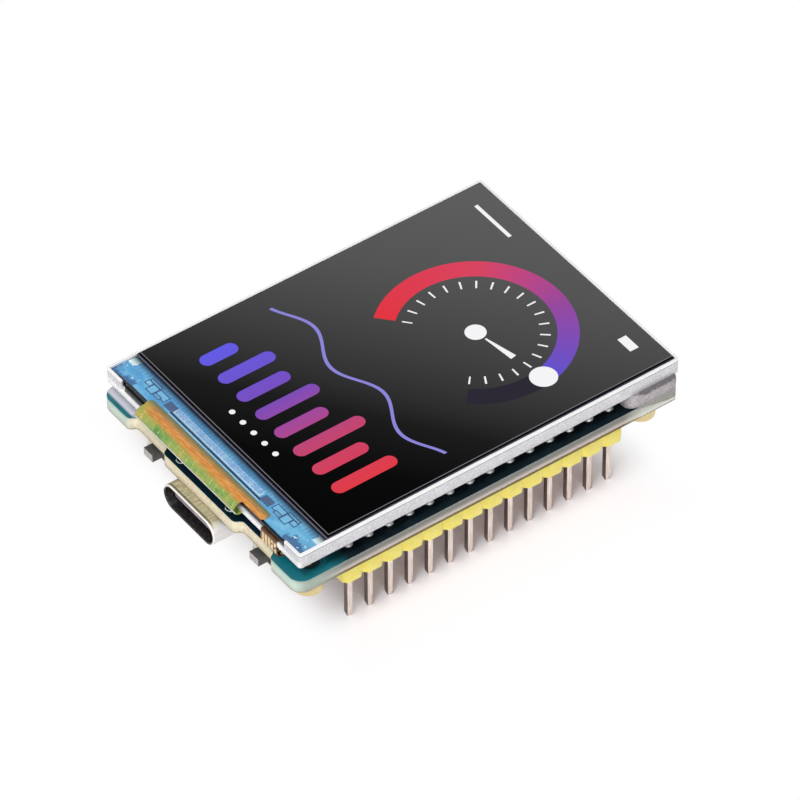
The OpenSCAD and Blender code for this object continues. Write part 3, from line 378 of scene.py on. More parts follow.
# Deep-drawn steel, nickel-plated: warm grey with draw marks, a painted highlight on the right side and on the
# upper and right parts of the lip, and painted shade over the rest of the lip and inside
def drawn_steel():
    material, add, place = start_finish("nickel_plated_steel")
    flat_half, bore, mouth_y = 2.89, 1.44, -24.8
    x, y, z = add("SeparateXYZ", place).outputs
    past = add("MAXIMUM", add("SUBTRACT", add("ABSOLUTE", x), flat_half), 0.0)
    rise = add("SUBTRACT", z, SOCKET_MIDDLE)
    radius = add("VectorMath", add("CombineXYZ", past, rise), operation="LENGTH")
    inside = add("LESS_THAN", radius, bore)
    drawn = add("Mapping", place, Scale=(1.0, 0.15, 1.0))
    drawn = add("TexNoise", drawn, Scale=9.0, Detail=4.0, Roughness=0.7)
    colour = add("ValToRGB", drawn, stops=((0.32, "#968b6d"), (0.68, "#dfd7be"), (0.5, "#c0b698")))
    # A darker brown patch towards the right-hand back of the top, painted shade in the seam behind the lip, a
    # painted highlight on the right side and on the upper and right parts of the end, and the rest of the end
    # and the inside painted dark as shade
    dark_patch = add("MULTIPLY", add("MapRange", x, 2.4, 3.5), add("MapRange", y, -24.4, -23.3, 0.0, 0.75))
    seam_shade = add("MULTIPLY", add("COMPARE", y, -24.62, 0.1), 0.8)
    flank = add("MapRange", x, 3.5, 4.2)
    painted_highlight = add("ValToRGB", drawn, stops=((0.3, "#d8d0ce"), (0.7, "#f4efee")))
    mouth = add("LESS_THAN", y, mouth_y)
    lip = add("MULTIPLY", mouth, add("MAXIMUM", add("GREATER_THAN", z, 7.3), flank))
    inside_mottle = add("TexNoise", place, Scale=3.2, Detail=4.0)
    dull = add("ValToRGB", inside_mottle, stops=((0.46, "#080607"), (0.66, "#352c2e")))
    painted_shade_and_sheen = add("MULTIPLY", mouth, add("SUBTRACT", 1.0, lip))
    for mask, tint in ((dark_patch, "#6b5f55"), (seam_shade, "#574a36"), (flank, painted_highlight), (lip, "#f6f3ee"),
                       (add("MAXIMUM", inside, painted_shade_and_sheen), dull)):
        colour = add("Mix", mask, colour, tint, data_type="RGBA")
    metal = add("Mix", inside, 0.5, 0.0)
    rough = add("MapRange", drawn, 0.3, 0.7, 0.5, 0.28)
    return end_finish(material, add, colour, rough, drawn, 0.02, 0.4, Metallic=metal)


# Moulded liquid crystal polymer: black, with a painted grey-mauve sheen on the tongue's upward and forward
# faces
def socket_polymer():
    material, add, place = start_finish("black_liquid_crystal_polymer")
    y = add("SeparateXYZ", place).outputs[1]
    _, ny, nz = add("SeparateXYZ", add("NewGeometry").outputs["Normal"]).outputs
    flow = add("TexNoise", add("Mapping", place, Scale=(0.3, 1.5, 1.5)), Scale=3.0, Detail=3.0)
    body = add("ValToRGB", flow, stops=((0.3, "#0e0d0f"), (0.7, "#1c1a1d")))
    painted_shade_and_sheen = add("ValToRGB", flow, stops=((0.3, "#7d727c"), (0.7, "#c4b9c2")))
    # Painted reflection: the tongue's upward and forward faces are painted grey-mauve
    tongue_sheen = add("MULTIPLY", add("LESS_THAN", y, -21.0), add("GREATER_THAN", add("SUBTRACT", nz, ny), 0.3))
    colour = add("Mix", tongue_sheen, body, painted_shade_and_sheen, data_type="RGBA")
    rough = add("MapRange", flow, 0.3, 0.7, 0.55, 0.4)
    return end_finish(material, add, colour, rough, flow, 0.02)


# Acrylic foam tape, die-cut: warm grey with fine open pores, and a dark band along its top with a ragged
# edge, narrower at its near end
def foam_tape():
    material, add, place = start_finish("grey_acrylic_foam")
    _, y, z = add("SeparateXYZ", place).outputs
    # Pores, about 0.3 mm
    pores = add("TexVoronoi", place, Scale=3.2)
    cloud = add("TexNoise", place, Scale=0.8, Detail=3.0)
    mixed = add("Mix", 0.45, pores, cloud)
    colour = add("ValToRGB", mixed, stops=((0.15, "#8f898b"), (0.7, "#c4bfc0"), (0.4, "#b0aaac")))
    ragged = add("TexNoise", place, Scale=2.2, Detail=4.0)
    level = add("ADD", z, add("MULTIPLY_ADD", ragged, 0.9, -0.45))
    level = add("ADD", level, add("MapRange", y, 19.2, 20.2, -0.5, 0.0))
    dark_top = add("MapRange", level, 11.2, 11.55, 0.0, 0.8)
    colour = add("Mix", dark_top, colour, "#4f4a4c", data_type="RGBA")
    return end_finish(material, add, colour, 0.85, pores, 0.06, 0.5)


# Float glass with printed tracks: blue by the light in it, painted navy shade under the edge above and in the
# gap at its left front edge, fine tracks and marks
def tracked_glass():
    material, add, place = start_finish("tracked_ledge_glass")
    front_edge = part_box("tft_glass")[0].y / MM
    x, y, _ = add("SeparateXYZ", place).outputs
    mirrored = add("ABSOLUTE", x)
    cloud = add("Mapping", place, Scale=(0.6, 1.0, 1.0))
    cloud = add("TexNoise", cloud, Scale=0.8, Detail=4.0, Roughness=0.65)
    depth = add("MapRange", y, -22.7, -19.5)
    colour = add("ValToRGB", depth, stops=(
        (0.0, "#70bfe6"), (1.0, "#2f7fbc"), (0.3, "#3d93cf"), (0.7, "#3a8cc8")))
    wash = add("ValToRGB", add("MapRange", x, -16.0, 16.0), stops=(
        (0.0, "#72ccfc"), (1.0, "#84dcfa"), (0.25, "#5cbcf2"), (0.65, "#54b4e6")))
    shade = add("ValToRGB", cloud, stops=((0.32, "#185592"), (0.7, "#a4e2f8"), (0.5, "#4597cf")))
    # Fine tracks that fan out behind the driver, 0.5 mm apart
    fan = add("COMPARE", add("PINGPONG", x, 0.25), 0.0, 0.05)
    fan = add("MULTIPLY", fan, add("COMPARE", y, -20.1, 0.42))
    for mask, tint in ((0.6, wash), (0.33, shade), (add("MULTIPLY", fan, 0.5), "#2a6cab")):
        colour = add("Mix", mask, colour, tint, data_type="RGBA")
    # Test loops: 0.12 mm lines round paler pads, in steps away from the driver's ends
    for centre, half in (((10.3, -20.75), (0.8, 0.42)), ((11.7, -20.95), (0.5, 0.55)),
                         ((12.7, -20.7), (0.4, 0.3)), ((10.6, -21.2), (0.5, 0.2)),
                         ((12.1, -20.2), (0.9, 0.15))):
        reach = box_reach(add, mirrored, y, centre, half)
        pad = add("MULTIPLY", add("LESS_THAN", reach, 0.0), 0.3)
        colour = add("Mix", pad, colour, "#a2e2fa", data_type="RGBA")
        colour = add("Mix", add("COMPARE", reach, 0.0, 0.06), colour, "#174f80", data_type="RGBA")
    # Dark glue with bubbles in the front corners, pale glue and a navy shade beside the plate above
    corner = add("MULTIPLY", add("GREATER_THAN", mirrored, 13.4), add("LESS_THAN", y, -20.9))
    ragged = add("TexNoise", place, Scale=1.1, Detail=4.0)
    smear = add("MapRange", add("MULTIPLY_ADD", ragged, 3.0, y), -20.0, -20.6, 0.0, 0.8)
    bubbles = add("GREATER_THAN", add("TexNoise", place, Scale=2.6, Detail=1.0), 0.7)
    glue = add("GREATER_THAN", add("MULTIPLY_ADD", cloud, 1.4, mirrored), 16.3)
    glue = add("MULTIPLY", glue, add("GREATER_THAN", y, -20.6))
    under = add("MapRange", y, -20.3, -19.6, 0.0, 0.9)
    # Painted shade along the front edge left of the flex, in the gap beside the tray's lip, wider away from
    # the corner
    spread = add("MapRange", x, -16.6, -13.0, 0.12, 0.3)
    spread = add("ADD", spread, add("MULTIPLY_ADD", cloud, 0.3, -0.15))
    gap_shade = add("LESS_THAN", add("SUBTRACT", y, front_edge), spread)
    gap_shade = add("MULTIPLY", add("LESS_THAN", x, -10.0), gap_shade)
    # Square alignment marks at the driver's ends, and in front of it a pale line and a painted shadow line
    square = add("MULTIPLY", add("COMPARE", mirrored, 8.45, 0.75), add("COMPARE", y, -20.95, 0.5))
    inner = add("LESS_THAN", mirrored, 7.9)
    for mask, tint in ((add("MULTIPLY", corner, smear), "#1d4c8a"),
                       (add("MULTIPLY", corner, bubbles), "#d5effa"),
                       (glue, "#d9f3fa"), (under, "#0f2138"), (gap_shade, "#060e18"),
                       (add("MULTIPLY", square, 0.85), "#3b4670"),
                       (add("MULTIPLY", inner, add("COMPARE", y, -21.64, 0.06)), "#a6daf2"),
                       (add("MULTIPLY", inner, add("COMPARE", y, -21.44, 0.12)), "#0b2848")):
        colour = add("Mix", mask, colour, tint, data_type="RGBA")
    rough = add("MapRange", cloud, 0.3, 0.7, 0.2, 0.1)
    return end_finish(material, add, colour, rough, cloud, 0.01, 0.1)


# Colour filter glass behind its black border: a deep navy edge, with a painted highlight line along its top
def filter_plate():
    material, add, place = start_finish("colour_filter_glass")
    z = add("SeparateXYZ", place).outputs[2]
    cloud = add("TexNoise", place, Scale=0.4, Detail=2.0)
    colour = add("ValToRGB", cloud, stops=((0.3, "#080d15"), (0.7, "#0e1826")))
    # Painted highlight along the top of the front face
    rim = add("COMPARE", z, LEDGE_TOP + 0.28, 0.03)
    colour = add("Mix", rim, colour, "#5f5d70", data_type="RGBA")
    return end_finish(material, add, colour, add("MapRange", cloud, 0.3, 0.7, 0.16, 0.08))


# Bare driver silicon in clear glue: pale blue with a bright sawn edge and fine bond rows
def driver_silicon():
    material, add, place = start_finish("driver_silicon")
    middle, half = (0.0, -20.925), (7.55, 0.375)
    x, y, _ = add("SeparateXYZ", place).outputs
    reach = box_reach(add, x, y, middle, half)
    cloud = add("TexNoise", place, Scale=1.2, Detail=4.0)
    colour = add("ValToRGB", cloud, stops=((0.3, "#6f9fd2"), (0.7, "#a8cdea"), (0.5, "#8ab6e0")))
    # Bond rows: bumps 0.6 mm apart
    bonds = add("COMPARE", add("PINGPONG", x, 0.3), 0.0, 0.07)
    bonds = add("MULTIPLY", bonds, add("COMPARE", reach, -0.16, 0.05))
    for mask, tint in ((bonds, "#5686bd"), (add("COMPARE", reach, 0.0, 0.06), "#d5f4ff")):
        colour = add("Mix", mask, colour, tint, data_type="RGBA")
    rough = add("MapRange", cloud, 0.3, 0.7, 0.32, 0.2)
    return end_finish(material, add, colour, rough, Metallic=0.15)


# Polyimide flex: amber over copper at the bond and over the fold, green cover film below, thin copper lines
def flex_film():
    material, add, place = start_finish("flex_polyimide")
    x, y, z = add("SeparateXYZ", place).outputs
    cloud = add("TexNoise", place, Scale=0.9, Detail=4.0, Roughness=0.65)
    # Streaks along the band, about 0.15 mm wide, over conductors 0.34 mm apart, and olive at the left end
    streak = add("TexNoise", add("Mapping", place, Scale=(0.35, 2.6, 2.6)), Scale=2.4, Detail=3.0)
    colour = add("ValToRGB", streak, stops=((0.3, "#c4762a"), (0.72, "#f2b262"), (0.5, "#de9340")))
    comb = add("PINGPONG", add("MULTIPLY_ADD", cloud, 0.5, x), 0.17)
    comb = add("MULTIPLY", add("LESS_THAN", comb, 0.06), 0.25)
    ends = add("MapRange", x, -8.9, -10.3)
    # The cover film's green runs to olive in long patches, about 3 mm
    patch = add("Mapping", place, Scale=(0.45, 1.0, 1.0))
    patch = add("TexNoise", patch, Scale=0.8, Detail=5.0, Roughness=0.7)
    green = add("ValToRGB", patch, stops=((0.36, "#4f8a3a"), (0.64, "#b9a650"), (0.5, "#84a54c")))
    # Copper lines round the fold, about 1.0 mm apart, broken where the film is dull
    ticks = add("COMPARE", add("PINGPONG", add("MULTIPLY_ADD", cloud, 0.9, x), 0.5), 0.0, 0.04)
    ticks = add("MULTIPLY", ticks, add("MapRange", streak, 0.42, 0.6, 0.0, 0.75))
    green = add("Mix", ticks, green, "#e6e6a8", data_type="RGBA")
    # The cover film begins where the fold does and goes on under the module, with a painted highlight stripe
    # low on the fold
    reach = add("ADD", y, add("MULTIPLY_ADD", cloud, 0.5, -0.25))
    cover = add("MAXIMUM", add("MapRange", reach, -23.12, -23.75), add("LESS_THAN", z, 12.6))
    fold_highlight = add("MULTIPLY", add("COMPARE", z, 12.3, 0.22), add("LESS_THAN", y, -23.4))
    # The bonded edge: film thins to olive over the last 0.65 mm
    thin = add("MULTIPLY", add("MapRange", y, -22.7, -22.05), add("COMPARE", y, -21.8, 0.95))
    thin = add("MULTIPLY", thin, add("GREATER_THAN", z, 13.0))
    for mask, tint in ((comb, "#a5682a"), (ends, "#b9ab48"), (cover, green), (fold_highlight, "#eceadb"),
                       (add("MULTIPLY", thin, 0.9), "#5f7048")):
        colour = add("Mix", mask, colour, tint, data_type="RGBA")
    rough = add("MapRange", cloud, 0.3, 0.7, 0.42, 0.26)
    return end_finish(material, add, colour, rough, add("ADD", streak, ticks), 0.03)


# Backlight tail: brown film over the lip, gold-plated fingers 0.52 mm apart down its face, and painted shade
# inside the curl
def tail_film():
    material, add, place = start_finish("tail_polyimide")
    x, _, z = add("SeparateXYZ", place).outputs
    ny = add("SeparateXYZ", add("NewGeometry").outputs["Normal"]).outputs[1]
    cloud = add("TexNoise", place, Scale=1.4, Detail=3.0)
    colour = add("ValToRGB", cloud, stops=((0.3, "#8d5a24"), (0.7, "#c08a48")))
    gold = add("ValToRGB", cloud, stops=((0.3, "#e3c283"), (0.7, "#fff1c6")))
    fingers = add("PINGPONG", add("MULTIPLY_ADD", cloud, 0.3, x), 0.26)
    spots = add("GREATER_THAN", add("TexNoise", place, Scale=3.0, Detail=2.0), 0.56)
    spots = add("MULTIPLY", spots, add("GREATER_THAN", x, 12.2))
    brown = add("ValToRGB", cloud, stops=((0.3, "#3a2110"), (0.7, "#6d4520")))
    over = add("MapRange", add("ADD", z, add("MULTIPLY_ADD", cloud, 0.4, -0.2)), 12.05, 12.3)
    # Painted shade: the faces turned back into the curl are painted near black
    for mask, tint in ((add("LESS_THAN", fingers, 0.15), gold), (spots, "#5a3412"), (over, brown),
                       (add("GREATER_THAN", ny, 0.15), "#24160c")):
        colour = add("Mix", mask, colour, tint, data_type="RGBA")
    rough = add("MapRange", cloud, 0.3, 0.7, 0.4, 0.25)
    return end_finish(material, add, colour, rough, fingers, 0.03, Metallic=0.1)


# Moulded acetal key: painted dark on top and at the sides as shade under the board, and pale on its front
# face as the lit side
def key_plastic():
    material, add, place = start_finish("grey_acetal")
    ny = add("SeparateXYZ", add("NewGeometry").outputs["Normal"]).outputs[1]
    cloud = add("TexNoise", place, Scale=4.0, Detail=3.0)
    body = add("ValToRGB", cloud, stops=((0.3, "#383634"), (0.7, "#484543")))
    face = add("ValToRGB", cloud, stops=((0.3, "#a8a4a2"), (0.7, "#bcb8b6")))
    # Painted light: the front face lit and pale, the rest shaded dark
    colour = add("Mix", add("LESS_THAN", ny, -0.6), body, face, data_type="RGBA")
    rough = add("MapRange", cloud, 0.3, 0.7, 0.45, 0.32)
    return end_finish(material, add, colour, rough, cloud, 0.02)


# Lit screen under a hard-coated polarizer: black glass with a drawn dashboard, lit from within
def lit_screen():
    material, add, place = start_finish("lit_screen_film")
    x, y, z = add("SeparateXYZ", place).outputs
    flat = add("CombineXYZ", x, y)
    # The glow rises from black at the near corner to grey towards the far one
    rise = add("MapRange", add("MULTIPLY_ADD", x, -0.74, y), -30.0, 34.0)
    colour = add("ValToRGB", rise, stops=(
        (0.0, "#010101"), (1.0, "#5b5b5c"), (0.17, "#050505"), (0.32, "#19191a"), (0.4, "#2d2d2e"),
        (0.5, "#3b3b3c"), (0.64, "#4a4a4b"), (0.76, "#535354")))
    # Gauge: an open ring with a colour sweep, ticks inside it and a bright marker
    centre, ring_radius, reading, ring_end = (1.5, 10.4, 0.0), 9.6, 1.4, 2.3
    radius = add("VectorMath", flat, centre, operation="DISTANCE")
    angle = add("ARCTAN2", add("SUBTRACT", x, centre[0]), add("SUBTRACT", y, centre[1]))
    hue = add("ValToRGB", add("MapRange", angle, -ring_end, ring_end), stops=(
        (0.0, "#e2343f"), (1.0, "#6d6af0"), (0.3, "#d8435f"), (0.55, "#93489f"), (0.8, "#5a52cf")))
    ring = add("COMPARE", radius, ring_radius, 1.15)
    rest = add("MULTIPLY", ring, add("COMPARE", angle, 0.0, ring_end))
    arc = add("MULTIPLY", ring, add("COMPARE", angle, (reading - ring_end) / 2, (reading + ring_end) / 2))
    ticks = add("COMPARE", add("PINGPONG", angle, 0.115), 0.0, 0.014)
    ticks = add("MULTIPLY", ticks, add("COMPARE", radius, 7.2, 0.55))
    ticks = add("MULTIPLY", ticks, add("COMPARE", angle, 0.0, ring_end + 0.01))
    tip = (centre[0] + ring_radius * sin(reading), centre[1] + ring_radius * cos(reading), 0.0)
    marker = add("LESS_THAN", add("VectorMath", flat, tip, operation="DISTANCE"), 1.5)
    hub = add("LESS_THAN", radius, 1.15)
    pointer = add("MULTIPLY", add("COMPARE", angle, reading, 0.07), add("COMPARE", radius, 3.4, 2.0))
    # Bars with round ends, 3.3 mm apart, their lengths from a fixed scatter
    bar_pitch = 3.3
    cell = add("SNAP", x, bar_pitch)
    reach = add("MULTIPLY_ADD", add("TexWhiteNoise", cell, noise_dimensions="1D"), 5.4, -12.6)
    over = add("SUBTRACT", y, add("Clamp", y, -14.2, reach))
    middle = add("SUBTRACT", add("SUBTRACT", x, cell), bar_pitch / 2)
    away = add("VectorMath", add("CombineXYZ", middle, over), operation="LENGTH")
    bars = add("MULTIPLY", add("LESS_THAN", away, 0.85), add("COMPARE", x, 0.0, 4 * bar_pitch))
    bar_hue = add("ValToRGB", add("MapRange", x, -13.0, 13.0),
                  stops=((0.0, "#5f5ce6"), (1.0, "#e23a42"), (0.4, "#7a4cb8"), (0.7, "#c2456f")))
    # Wave line between the two, a row of dots at the near end, a rail and a block at the far end
    crest = add("MULTIPLY_ADD", add("SINE", add("MULTIPLY", x, 0.52)), 1.1, -3.6)
    wave = add("MULTIPLY", add("COMPARE", y, crest, 0.2), add("COMPARE", x, 0.0, 14.0))
    spot = add("CombineXYZ", add("PINGPONG", x, 0.95), add("SUBTRACT", y, -16.6))
    dots = add("LESS_THAN", add("VectorMath", spot, operation="LENGTH"), 0.34)
    dots = add("MULTIPLY", dots, add("COMPARE", x, 0.0, 4.4))
    rail = add("MULTIPLY", add("COMPARE", y, 22.0, 0.22), add("COMPARE", x, -11.0, 3.0))
    block = add("MULTIPLY", add("COMPARE", y, 22.0, 0.55), add("COMPARE", x, 12.2, 1.1))
    # The picture sits a little to the left and back, so a black margin with a thin pale seal shows at the
    # right and front
    low, high = (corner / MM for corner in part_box("front_polarizer"))
    margin = 0.3
    inset = add("MINIMUM", add("SUBTRACT", high.x, x), add("SUBTRACT", y, low.y))
    white = [(mark, "#f4f4f6") for mark in (ticks, hub, pointer, marker, dots, rail, block)]
    for mask, tint in ((rest, "#2b2734"), (arc, hue), (wave, "#8d86d8"), (bars, bar_hue), *white,
                       (add("LESS_THAN", inset, margin), "#050505"),
                       (add("COMPARE", inset, margin, 0.05), "#77757a")):
        colour = add("Mix", mask, colour, tint, data_type="RGBA")
    # Only the film's upper face is lit; its cut edge is mauve-grey
    face = add("COMPARE", z, SCREEN_TOP, 0.03)
    film = add("Mix", face, "#4d4a55", "#030303", data_type="RGBA")
    return end_finish(material, add, film, 0.12, Specular_IOR_Level=0.01, Emission_Color=colour,
                      Emission_Strength=face)


finish.update(
    tray_steel=pressed_stainless(), solder_mask=masked_board(), pin_metal=stamped_pin(), solder=tin_solder(),
    nut_brass=plated_brass(), socket_steel=drawn_steel(), socket_plastic=socket_polymer(),
    grey_foam=foam_tape(), ledge_glass=tracked_glass(), filter_glass=filter_plate(),
    driver_silicon=driver_silicon(), display_flex=flex_film(), tail_flex=tail_film(),
    plunger_plastic=key_plastic(), screen_film=lit_screen())

slot_of = {part["node"]: part["material_slot"] for part in frame["record"]["subparts"]}
for name, part in nodes.items():
    part.data.materials.clear()
    part.data.materials.append(finish[slot_of[name]])


# Helpers for the pieces


def put(name, bm, slot, body="board", stands_for=(), angle=35):
    """Makes a piece of a mesh, smooth up to an angle, in its finish and on its body."""
    for face in bm.faces:
        face.smooth = True
    for edge in bm.edges:
        edge.smooth = edge.is_manifold and edge.calc_face_angle(0) < radians(angle)
    mesh = bpy.data.meshes.new(name)
    bm.to_mesh(mesh)
    bm.free()
    made = bpy.data.objects.new(name, mesh)
    scene.collection.objects.link(made)
    mesh.materials.append(finish[slot])
    if stands_for:
        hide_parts(*stands_for)
    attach(made, body)
    return made


def edges_along(bm, axis):
    """The edges of a mesh that run along an axis, 0 to 2."""
    return [e for e in bm.edges if abs((e.verts[0].co - e.verts[1].co).normalized()[axis]) > 0.9]


def sharp_edges(bm, angle):
    """The edges of a mesh at which it turns by more than an angle in degrees."""
    return [e for e in bm.edges if e.is_manifold and e.calc_face_angle(0) > radians(angle)]


def level_edges(verts, height):
    """The edges round a slab that lie at a height in millimetres."""
    edges = dict.fromkeys(e for v in verts for e in v.link_edges)
    return [e for e in edges if all(abs(v.co.z - height * MM) < 0.01 * MM for v in e.verts)]


def bevel(bm, edges, width, steps):
    """Rounds edges by a width in millimetres."""
    bmesh.ops.bevel(bm, geom=edges, offset=width * MM, offset_type="OFFSET", affect="EDGES", segments=steps,
                    profile=0.5, material=-1, clamp_overlap=True)


def eased(node, width, body="board"):
    """A copy of a part with its sharp edges eased by a small radius, so that they catch the light."""
    bm = bmesh.new()
    bm.from_mesh(nodes[node].data)
    bmesh.ops.remove_doubles(bm, verts=bm.verts, dist=1e-7)
    bmesh.ops.dissolve_limit(bm, angle_limit=radians(0.5), verts=bm.verts, edges=bm.edges)
    bevel(bm, sharp_edges(bm, 25), width, 2)
    put(node + "_eased", bm, slot_of[node], body, (node,))


def slab(bm, low, high):
    """A box between two corners in millimetres, in a mesh that goes on being shaped."""
    made = bmesh.ops.create_cube(bm, size=1.0)["verts"]
    low, high = Vector(low) * MM, Vector(high) * MM
    bmesh.ops.scale(bm, vec=high - low, verts=made)
    bmesh.ops.translate(bm, vec=(low + high) / 2, verts=made)
    return made


def turned(bm, profile, at, steps):
    """A closed profile of radius and height over a place, in millimetres, turned about an upright axis."""
    x, y, base = at
    verts = [bm.verts.new(((x + radius) * MM, y * MM, (base + rise) * MM)) for radius, rise in profile]
    edges = [bm.edges.new((verts[i], verts[(i + 1) % len(verts)])) for i in range(len(verts))]
    bmesh.ops.spin(bm, geom=verts + edges, cent=(x * MM, y * MM, 0), axis=(0, 0, 1), angle=2 * pi,
                   steps=steps, use_merge=True)


def set_right(bm):
    """Merges the seams and turns every face outwards."""
    bmesh.ops.remove_doubles(bm, verts=bm.verts, dist=1e-7)
    bmesh.ops.recalc_face_normals(bm, faces=bm.faces)


def strip(bm, ends, y, z):
    """The first edge of a sheet, between two places along X, in millimetres."""
    return [bm.edges.new([bm.verts.new((x * MM, y * MM, z * MM)) for x in ends])]


def pull(bm, edges, vec):
    """Draws the open edge of a sheet on by a vector in millimetres and returns its new edge."""
    out = bmesh.ops.extrude_edge_only(bm, edges=edges)["geom"]
    verts = [v for v in out if isinstance(v, bmesh.types.BMVert)]
    bmesh.ops.translate(bm, vec=Vector(vec) * MM, verts=verts)
    return [e for e in out if isinstance(e, bmesh.types.BMEdge) and all(v in verts for v in e.verts)]


def fold(bm, edges, centre, turn, steps):
    """Bends the sheet on round an axis along X through a point of Y and Z in millimetres."""
    out = bmesh.ops.spin(bm, geom=edges, cent=(0, centre[0] * MM, centre[1] * MM), axis=(1, 0, 0), angle=turn,
                         steps=steps)["geom_last"]
    return [e for e in out if isinstance(e, bmesh.types.BMEdge)]


# Moulded, stamped and cut parts with eased edges

for name, width in (("circuit_board", 0.06), ("header_strip_left", 0.09), ("header_strip_right", 0.09),
                    ("header_pins_left", 0.04), ("header_pins_right", 0.04), ("usb_insulator", 0.05),
                    ("boot_switch_base", 0.06), ("reset_switch_base", 0.06), ("boot_switch_cover", 0.04),
                    ("reset_switch_cover", 0.04), ("microcontroller", 0.05), ("flash_memory", 0.05),
                    ("motion_sensor", 0.05), ("crystal", 0.06), ("voltage_regulator", 0.06),
                    ("charger_chip", 0.08), ("chip_antenna", 0.06), ("ceramic_capacitors", 0.05),
                    ("chip_resistors", 0.03), ("chip_end_caps", 0.05), ("indicator_leds", 0.05),
                    ("battery_socket", 0.1), ("card_slot_shell", 0.05), ("metal_tray", 0.07),
                    ("driver_chip", 0.04), ("backlight_frame", 0.05), ("front_polarizer", 0.03)):
    eased(name, width)
eased("boot_plunger", 0.08, "boot_button")
eased("reset_plunger", 0.08, "reset_button")

# Threaded nuts, turned, with a chamfered foot and thread grooves down the bore; solder fillets round them
# on the underside, and rings of thicker mask round their holes above

thread_pitch = 0.45
nut = [(1.0, 1.6), (1.25, 1.6), (1.25, 0), (1.55, 0), (1.6, -0.05), (1.6, -2.0), (1.4, -2.2), (0.98, -2.2)]
for i in reversed(range(8)):
    nut += [(0.93, 1.33 - thread_pitch * i), (0.8, 1.55 - thread_pitch * i)]
fillet = [(1.62, 0), (1.62, -0.1), (1.74, -0.05), (2.0, 0)]
ring = [(1.32, 0), (1.44, 0.015), (1.66, 0.015), (1.88, 0)]
for name, slot, stands_for, profile, base in (
        ("turned_nuts", "nut_brass", ("threaded_nuts",), nut, BOARD_BOTTOM),
        ("nut_fillets", "solder", (), fillet, BOARD_BOTTOM),
        ("mask_rings", "solder_mask", (), ring, BOARD_TOP)):
    bm = bmesh.new()
    for x in (-NUT_X, NUT_X):
        for y in NUT_Y:
            turned(bm, profile, (x, y, base), 40)
    set_right(bm)
    put(name, bm, slot, stands_for=stands_for)

# Solder joints: waisted cones with rounded tops that climb the pin ends

bm = bmesh.new()
joint = [(0.3, 0), (0.6, 0), (0.585, 0.08), (0.565, 0.17), (0.5, 0.32), (0.475, 0.45), (0.46, 0.64),
         (0.42, 0.72), (0.37, 0.77), (0.3, 0.8)]
for x in (-PIN_ROW_X, PIN_ROW_X):
    for i in range(PIN_COUNT):
        turned(bm, joint, (x, PIN_FIRST_Y + i * PIN_PITCH, BOARD_TOP), 20)
set_right(bm)
put("solder_cones", bm, "solder", stands_for=("header_solder",))

# Solder round the socket's legs where they come up through the board

bm = bmesh.new()
joint = [(0.2, 0), (0.55, 0), (0.53, 0.03), (0.42, 0.06), (0.33, 0.03), (0.2, 0.02)]
for x in (-LEG_X, LEG_X):
    for y, stretch in zip(LEG_Y, (1.0, 1.15)):
        start = len(bm.verts)
        turned(bm, joint, (x, y, BOARD_TOP), 28)
        bm.verts.ensure_lookup_table()
        about = Matrix.Translation((-x * MM, -y * MM, 0))
        bmesh.ops.scale(bm, vec=(1, stretch, 1), space=about, verts=bm.verts[start:])
set_right(bm)
put("leg_solder", bm, "solder")

# Socket shell: a rolled tube with a rounded mouth and folded legs

bm = bmesh.new()
low, high = (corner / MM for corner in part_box("usb_shell"))
wall, depth, leg_half, leg_top = 0.3, 4.95, 0.15, 9.9
slab(bm, (-SOCKET_HALF, low.y, SOCKET_LOW), (SOCKET_HALF, high.y, BOARD_BOTTOM))
bevel(bm, edges_along(bm, 1), 1.5, 10)
mouth = [f for f in bm.faces if f.normal.y < -0.9]
bmesh.ops.inset_region(bm, faces=mouth, thickness=wall * MM, use_even_offset=True)
pushed = bmesh.ops.extrude_face_region(bm, geom=mouth)["geom"]
pushed = [v for v in pushed if isinstance(v, bmesh.types.BMVert)]
bmesh.ops.delete(bm, geom=mouth, context="FACES")
bmesh.ops.translate(bm, vec=(0, depth * MM, 0), verts=pushed)
lip = [e for e in sharp_edges(bm, 40) if all(abs(v.co.y - low.y * MM) < 1e-7 for v in e.verts)]
bevel(bm, lip, 0.11, 3)
for x in (-LEG_X, LEG_X):
    for y, wide in zip(LEG_Y, (0.9, 1.1)):
        leg = slab(bm, (x - leg_half, y - wide / 2, 7.1), (x + leg_half, y + wide / 2, leg_top))
        bevel(bm, level_edges(leg, leg_top), 0.1, 2)
bmesh.ops.recalc_face_normals(bm, faces=bm.faces)
put("rolled_socket_shell", bm, "socket_steel", stands_for=("usb_shell",))

# Display flex: bonded to the glass, folded round the module's front, then down to the board

bm = bmesh.new()
tip = strip(bm, (-10.4, 7.0), -22.9, 13.426)
tip = pull(bm, tip, (0, -0.375, 0))
tip = fold(bm, tip, (-23.275, 12.585), pi, 24)
tip = pull(bm, tip, (0, 5.0, 0))
tip = fold(bm, tip, (-18.275, 10.164), -pi / 3, 10)
tip = fold(bm, tip, (-15.538, 11.744), pi / 3, 10)
pull(bm, tip, (0, 2.5, 0))
set_right(bm)
bmesh.ops.solidify(bm, geom=bm.faces, thickness=0.11 * MM)
put("folded_flex", bm, "display_flex", stands_for=("display_flex",))
bm = bmesh.new()
slab(bm, (-10.5, -23.075, LEDGE_TOP), (10.5, -21.825, LEDGE_TOP + 0.12))
bevel(bm, edges_along(bm, 2), 0.5, 6)
bevel(bm, sharp_edges(bm, 60), 0.03, 2)
put("bonded_flex_band", bm, "display_flex")

# Backlight tail: film over the tray's lip, down its face and curled back on the board

